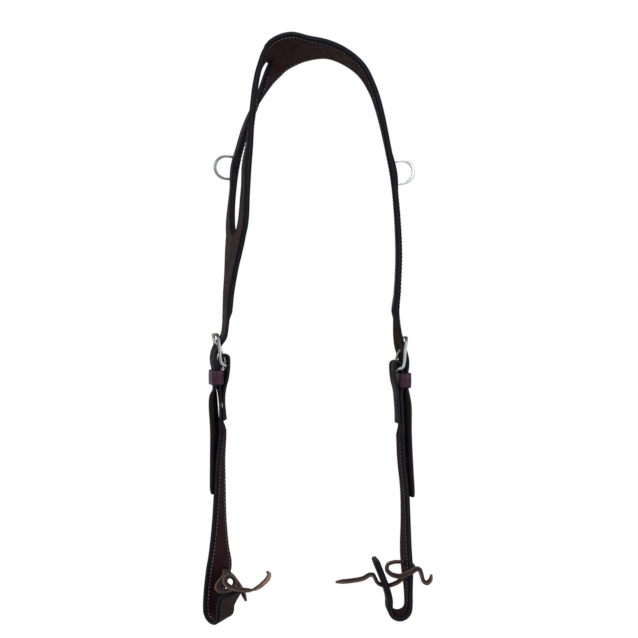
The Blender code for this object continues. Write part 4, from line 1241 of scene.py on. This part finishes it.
# %% Punch the crown strap
tongue_hole_length, tongue_hole_width, tongue_punch_length = 0.0092, 0.0034, 0.008
spare_hole, spare_hole_pitch, spare_holes, spare_punch_length = 0.0032, 0.0254, 3, 0.0048
crown_out = np.cross(ways, square_to(ways, level))
for side in SIDES:
    rise_share, out_share = of_side(tongue_hole_shares, side)
    place = at_buckle(side, billet_at_keeper * out_share, -toe_rise * rise_share)
    row = int(np.argmin(np.linalg.norm(crown_centres - np.array(place), axis=1)))
    way = Vector(ways[row])
    out = outward_way(side, of_side(buckle_lean, side))
    out = (out - out.dot(way) * way).normalized()
    oval = tongue_hole_length - tongue_hole_width
    crown_cutters.append(cutter_rod(place, out, tongue_hole_width / 2, tongue_punch_length, way, oval))
    towards_tail = -1 if side == "left" else 1
    for k in range(spare_holes):
        length = crown_lengths[row] + towards_tail * spare_hole_pitch * (k + 2)
        middle, axis = (
            Vector(at_lengths(length, crown_lengths, values)) for values in (crown_centres, crown_out)
        )
        crown_cutters.append(cutter_rod(middle, axis, spare_hole / 2, spare_punch_length))
punch(crown_piece, crown_cutters)

last_column = len(columns[0]) - 1
sewn_rows = np.flatnonzero(sewn)
whole = slice(sewn_rows[0], sewn_rows[-1] + 1)
beside_slot = slice(first_open + 2, last_open - 1)
lines = face_lines(crown, (STITCH_COLUMN, last_column - STITCH_COLUMN), whole)
lines += face_lines(crown, (per_strip - 1 - STITCH_COLUMN, per_strip + STITCH_COLUMN), beside_slot)
sew("crown_stitches", lines)
print("crown:", len(crown_piece.data.polygons), "faces;", len(crown_cutters), "holes")

# %% [markdown]
# ## Buckles
#
# The frame is one bent wire: a heel bar that the chape holds, two sides that rise over the billet,
# and a toe bar.
# The tongue is a thinner wire: an eye round the heel bar, and a shaft that runs out through the billet's hole
# and rests on the toe bar with a flattened tip.

# %% Make the buckles
buckle_side_gap, frame_corner, tongue_overhang = 0.00105, 0.0042, 0.0008
buckle_side_shares = ((0, 0), (0.55, 0.04), (0.71, 0.24), (0.78, 0.55), (1, 1))
tongue_shaft_shares = ((0.025, 0.30), (0.222, 0.50), (0.597, 0.69), (0.92, 0.86), (1, 1))
# The eye's first angle, its turn in degrees and its steps,
# then the points of the tapered tip and its thickness at the end, as a share
eye_start, eye_turn, eye_steps, tip_points, tip_thickness = 205, 270, 30, 9, 0.55


def make_buckle(side):
    half = billet_width / 2 + buckle_side_gap + bar_radius
    profile = [(toe_out * out_share, toe_rise * rise_share) for out_share, rise_share in buckle_side_shares]
    near_side, far_side = (
        [at_buckle(side, out, -rise, end * half) for out, rise in profile] for end in (-1, 1)
    )
    line = rounded(near_side[::-1] + far_side, frame_corner, 9)
    body, solid = f"{side}_buckle", f"buckle_frame_{side}"
    wire(f"buckle_wire_{side}", line, buckle_wire, frame_steel, body, solid, closed=True)

    eye = bar_radius + gap + tongue_wire / 2
    angles = [math.radians(eye_start + eye_turn * k / eye_steps) for k in range(eye_steps + 1)]
    round_bar = [(eye * math.cos(angle), -eye * math.sin(angle)) for angle in angles]
    on_toe = toe_out + eye
    shaft = [(on_toe * out_share, -toe_rise * rise_share) for out_share, rise_share in tongue_shaft_shares]
    shaft.append((on_toe, -toe_rise - tongue_overhang))
    smooth = through([(*p, 0) for p in [round_bar[-1], *shaft]], 8)[1:, :2].tolist()
    line = [at_buckle(side, out, drop) for out, drop in [*round_bar, *smooth]]
    from_tip = np.arange(len(line))[::-1]
    full = np.sqrt(np.clip(from_tip / tip_points, 0, 1))
    radii = np.minimum(1, tip_thickness + (1 - tip_thickness) * full)
    body, solid = f"{side}_tongue", f"buckle_tongue_{side}"
    wire(f"tongue_wire_{side}", line, tongue_wire, tongue_steel, body, solid, radii=radii)


for side in SIDES:
    make_buckle(side)
print("buckles", round(billet_width * 1000), "mm inside")

# %% [markdown]
# ## Keepers
#
# A keeper is a short band of leather round the billet, sewn in under the turned chape.
# It is the same pair of skins as a strap, closed on itself, and a little more polished by the hand.

# %% Make the keepers
keeper_side_clearance, keeper_corner, keeper_bulge = 0.0004, 0.0022, 0.0007
keeper_rounding, keeper_spacing, swell_power = 0.00018, 0.0015, 8
# The keeper's edge has the same painted highlight down its middle
keeper_edge = burnished_edge("keeper_edge", (0.007, 0.0035, 0.006), (0.034, 0.016, 0.026))


def make_keeper(side):
    half = billet_width / 2 + keeper_side_clearance + keeper_wall / 2
    low, high = keeper_inside - keeper_wall / 2, keeper_outside + keeper_wall / 2
    corners = [Vector((out, half * end, 0)) for out, end in ((low, -1), (high, -1), (high, 1), (low, 1))]
    outline = rounded(corners, keeper_corner, 8)
    denser = []
    for a, b in zip(outline, outline[1:] + outline[:1]):
        count = max(1, round((b - a).length / keeper_spacing))
        denser += [a.lerp(b, k / count) for k in range(count)]
    ring = np.array([(p.x, p.y) for p in denser])
    across_middle = (ring[:, 0] - (low + high) / 2) / ((high - low) / 2)
    at_side = np.clip(np.abs(ring[:, 1]) / half, 0, 1)
    swollen = np.clip(1 - across_middle**2, 0, 1) * at_side**swell_power
    ring[:, 1] += np.sign(ring[:, 1]) * keeper_bulge * swollen
    tangent = unit(np.roll(ring, -1, axis=0) - np.roll(ring, 1, axis=0))
    normal = np.stack([tangent[:, 1], -tangent[:, 0]], axis=1)
    heights = np.array(strip_columns(0, keeper_height))
    from_edge = np.tile(np.minimum(heights, keeper_height - heights), (len(ring), 1))
    full = edge_rounding(from_edge, keeper_wall / 2)
    crowned = keeper_rounding * np.sin(math.pi * heights / keeper_height)
    skins = []
    for sign in (1, -1):
        rows = []
        for place, way, thick in zip(ring, normal, full):
            offset = sign * thick * keeper_wall / 2 + (crowned if sign > 0 else 0)
            flat = (place + way * offset[:, None]).tolist()
            drops_here = (keeper_drop + heights).tolist()
            rows.append([at_buckle(side, out, drop, across) for (out, across), drop in zip(flat, drops_here)])
        skins.append(np.array(rows))
    outer, inner = skins
    shared = from_edge < on_edge
    inner[shared] = outer[shared]
    along = lengths_along(ring)
    reach = np.full(len(ring), keeper_wall / 2)
    height = full * keeper_wall / 2
    name, finishes = f"keeper_band_{side}", (keeper_face, strap_back, keeper_edge)
    mesh = skinned_mesh(name, outer, inner, shared, reach, from_edge, height, along, closed=True)
    add_piece(name, mesh, finishes, "straps", (f"keeper_{side}",))


for side in SIDES:
    make_keeper(side)

# %% [markdown]
# ## Tie laces
#
# A flat leather lace closes each bit loop: it passes through slits in the strap and round the flap.
# It is cut from lighter leather, dyed dark on its grain side only, so its twisted tails show the tan flesh.
# The lace is stiff and short and the strap holds it on both sides, so it keeps the shape that it was tied in.
# The left lace's knot has a ring here that its solid leaves out, and another second tail,
# because a solid made along this route crossed itself.

# %% Lace finishes
def lace_flesh(name, dirty, clean):
    """The undyed flesh side: tan, matt and fibrous, dirtier in places."""
    material, shader = new_material(name)
    place = leather_coordinates(material)[0]
    fibres = noise(material, place, 1400.0, 4.0)
    tan = ramp(material, noise(material, place, 120.0, 5.0), ((0.35, dirty), (0.66, clean)))
    nap = ramp(material, fibres, ((0.3, 0.75), (0.7, 1.15)))
    link(material, mix_colour(material, 1.0, tan, nap, "MULTIPLY"), shader.inputs["Base Color"])
    shader.inputs["Roughness"].default_value = 0.85
    link(material, bump(material, fibres, 0.6, 0.0002), shader.inputs["Normal"])
    return material


lace_tan = lace_flesh("lace_flesh", (0.16, 0.075, 0.05), (0.42, 0.25, 0.17))
lace_dark = grain_leather(
    "lace_grain", (0.01, 0.0055, 0.0065), (0.026, 0.0155, 0.017), (0.05, 0.03, 0.026), 0.55, 0.08, 1200.0
)
lace_edge = lace_flesh("lace_edge", (0.022, 0.011, 0.009), (0.1, 0.054, 0.039))

# %% Make the laces and cut their slits
lace_width, lace_thickness, lace_tip_width, lace_tip_length = 0.0044, 0.0021, 0.00154, 0.006
lace_clearance, lace_reach, lace_tip_power, slit_overrun = 0.0006, 0.050, 0.8, 0.001
lace_step, lace_turn, lace_end_steps = 0.0015, math.radians(9), (0.0002, 0.0006)
# Columns across a lace, as shares of its width
lace_column_shares = np.array((0, 0.03, 0.1, 0.22, 0.36, 0.5, 0.64, 0.78, 0.9, 0.97, 1)) - 0.5
lace_out, lace_depth, lace_drop = (0.0001, 0.0018), (-0.004, 0.0), (0.2065, 0.2004)
# Inwards, across and up as shares of lace_reach, with the roll in degrees
lace_route_shares = {
    "right": (
        (1.066, -0.10, 0.462, 42), (0.80, -0.10, 0.480, 42), (0.60, -0.08, 0.510, 40),
        (0.49, -0.06, 0.562, 38), (0.425, -0.04, 0.555, 35), (0.385, -0.02, 0.49, 32),
        (0.345, 0.00, 0.42, 28), (0.26, 0.00, 0.37, 22), (0.16, 0.00, 0.366, 32),
        (0.02, 0.00, 0.41, 36), (-0.09, 0.00, 0.485, 22), (-0.175, 0.00, 0.53, 6),
        (-0.245, 0.00, 0.575, 12), (-0.278, 0.00, 0.64, 24), (-0.24, 0.00, 0.715, 24),
        (-0.165, 0.00, 0.745, 20), (-0.07, 0.01, 0.755, 32), (0.06, 0.02, 0.755, 40),
        (0.165, 0.02, 0.715, 40), (0.185, -0.01, 0.635, 40), (0.13, -0.08, 0.575, 42),
        (0.06, -0.17, 0.56, 54), (0.00, -0.27, 0.572, 75), (-0.08, -0.315, 0.61, 85),
        (-0.18, -0.322, 0.655, 85), (-0.27, -0.285, 0.69, 74), (-0.335, -0.23, 0.655, 55),
        (-0.372, -0.20, 0.56, 40), (-0.405, -0.18, 0.465, 36), (-0.465, -0.17, 0.43, 40),
        (-0.525, -0.16, 0.48, 42), (-0.545, -0.15, 0.57, 42),
    ),
    "left": (
        (0.212, 0.315, 0.174, 106), (0.167, 0.308, 0.273, 105), (0.070, 0.324, 0.364, 103),
        (-0.072, 0.348, 0.448, 100), (-0.201, 0.356, 0.527, 98), (-0.316, 0.321, 0.597, 88),
        (-0.350, 0.260, 0.650, 64), (-0.345, 0.180, 0.685, 38), (-0.290, 0.100, 0.700, 15),
        (-0.200, 0.085, 0.700, 2), (-0.125, 0.085, 0.690, 0), (-0.057, 0.071, 0.683, 4),
        (-0.013, 0.045, 0.649, 0), (0.001, -0.005, 0.591, 0), (0.001, -0.076, 0.530, 0),
        (0.009, -0.140, 0.470, 0), (0.040, -0.160, 0.419, 8), (0.110, -0.140, 0.392, 30),
        (0.199, -0.103, 0.404, 50), (0.287, -0.059, 0.452, 70), (0.349, -0.036, 0.541, 92),
        (0.369, -0.073, 0.632, 104), (0.342, -0.147, 0.679, 75), (0.305, -0.201, 0.640, 32),
        (0.312, -0.208, 0.567, 16), (0.365, -0.166, 0.507, 20), (0.431, -0.092, 0.474, 26),
        (0.489, -0.004, 0.453, 28), (0.532, 0.080, 0.440, 24), (0.566, 0.161, 0.442, 6),
        (0.607, 0.246, 0.477, -14), (0.652, 0.324, 0.543, -22), (0.692, 0.384, 0.617, -20),
        (0.703, 0.402, 0.689, -15), (0.672, 0.372, 0.733, -12),
    ),
}
tie_slit_shares = {
    "right": ((0.26, 0.00, 0.37), (-0.175, 0.00, 0.53), (-0.165, 0.00, 0.745)),
    "left": ((-0.125, 0.085, 0.69),),
}


def at_lace(side, inwards, across, rise):
    """A point given, as shares of lace_reach, from the place that the lace's knot is round."""
    lean = of_side(loop_lean, side)
    centre = heel_point(side) + Vector(
        (outward(side) * of_side(lace_out, side), of_side(lace_depth, side), -of_side(lace_drop, side))
    )
    place = across * width_way(side, lean) - inwards * outward_way(side, lean) + Vector((0, 0, rise))
    return centre + lace_reach * place


def make_lace(side):
    rows = [(*at_lace(side, *place), roll) for *place, roll in lace_route_shares[side]]
    made, lengths = stations(rows, lace_step, lace_turn, lace_end_steps)
    ways = directions(made[:, :3])
    lean = of_side(loop_lean, side)
    level = square_to(ways, np.array(width_way(side, lean)))
    upright = np.cross(ways, level)
    rolls = np.radians(made[:, 3])
    across = level * np.cos(rolls)[:, None] + upright * np.sin(rolls)[:, None]
    taper = np.clip(np.minimum(lengths, lengths[-1] - lengths) / lace_tip_length, 0, 1)
    widths = lace_tip_width + (lace_width - lace_tip_width) * taper**lace_tip_power
    columns = widths[:, None] * lace_column_shares[None, :]
    flat = np.full(len(made), lace_thickness / 2)
    lace = Leather(made[:, :3], lengths, columns, across, across, 1, flat, -flat)
    name, finishes = f"lace_{side}", (lace_dark, lace_tan, lace_edge)
    add_piece(name, lace.mesh(name), finishes, "straps", (f"tie_lace_{side}",))
    size = (
        lace_thickness + 3 * lace_clearance,
        lace_width + 2 * lace_clearance,
        3 * (cheek_ply + cheek_lining_ply + slit_overrun),
    )
    turn = (Vector((0, 0, 1)), width_way(side, lean), outward_way(side, lean))
    slits = [cutter_box(at_lace(side, *place), *turn, size) for place in tie_slit_shares[side]]
    punch(bpy.data.objects[f"cheek_leather_{side}"], slits)
    print(side, "lace:", round(lengths[-1] * 1000), "mm long")


for side in SIDES:
    make_lace(side)
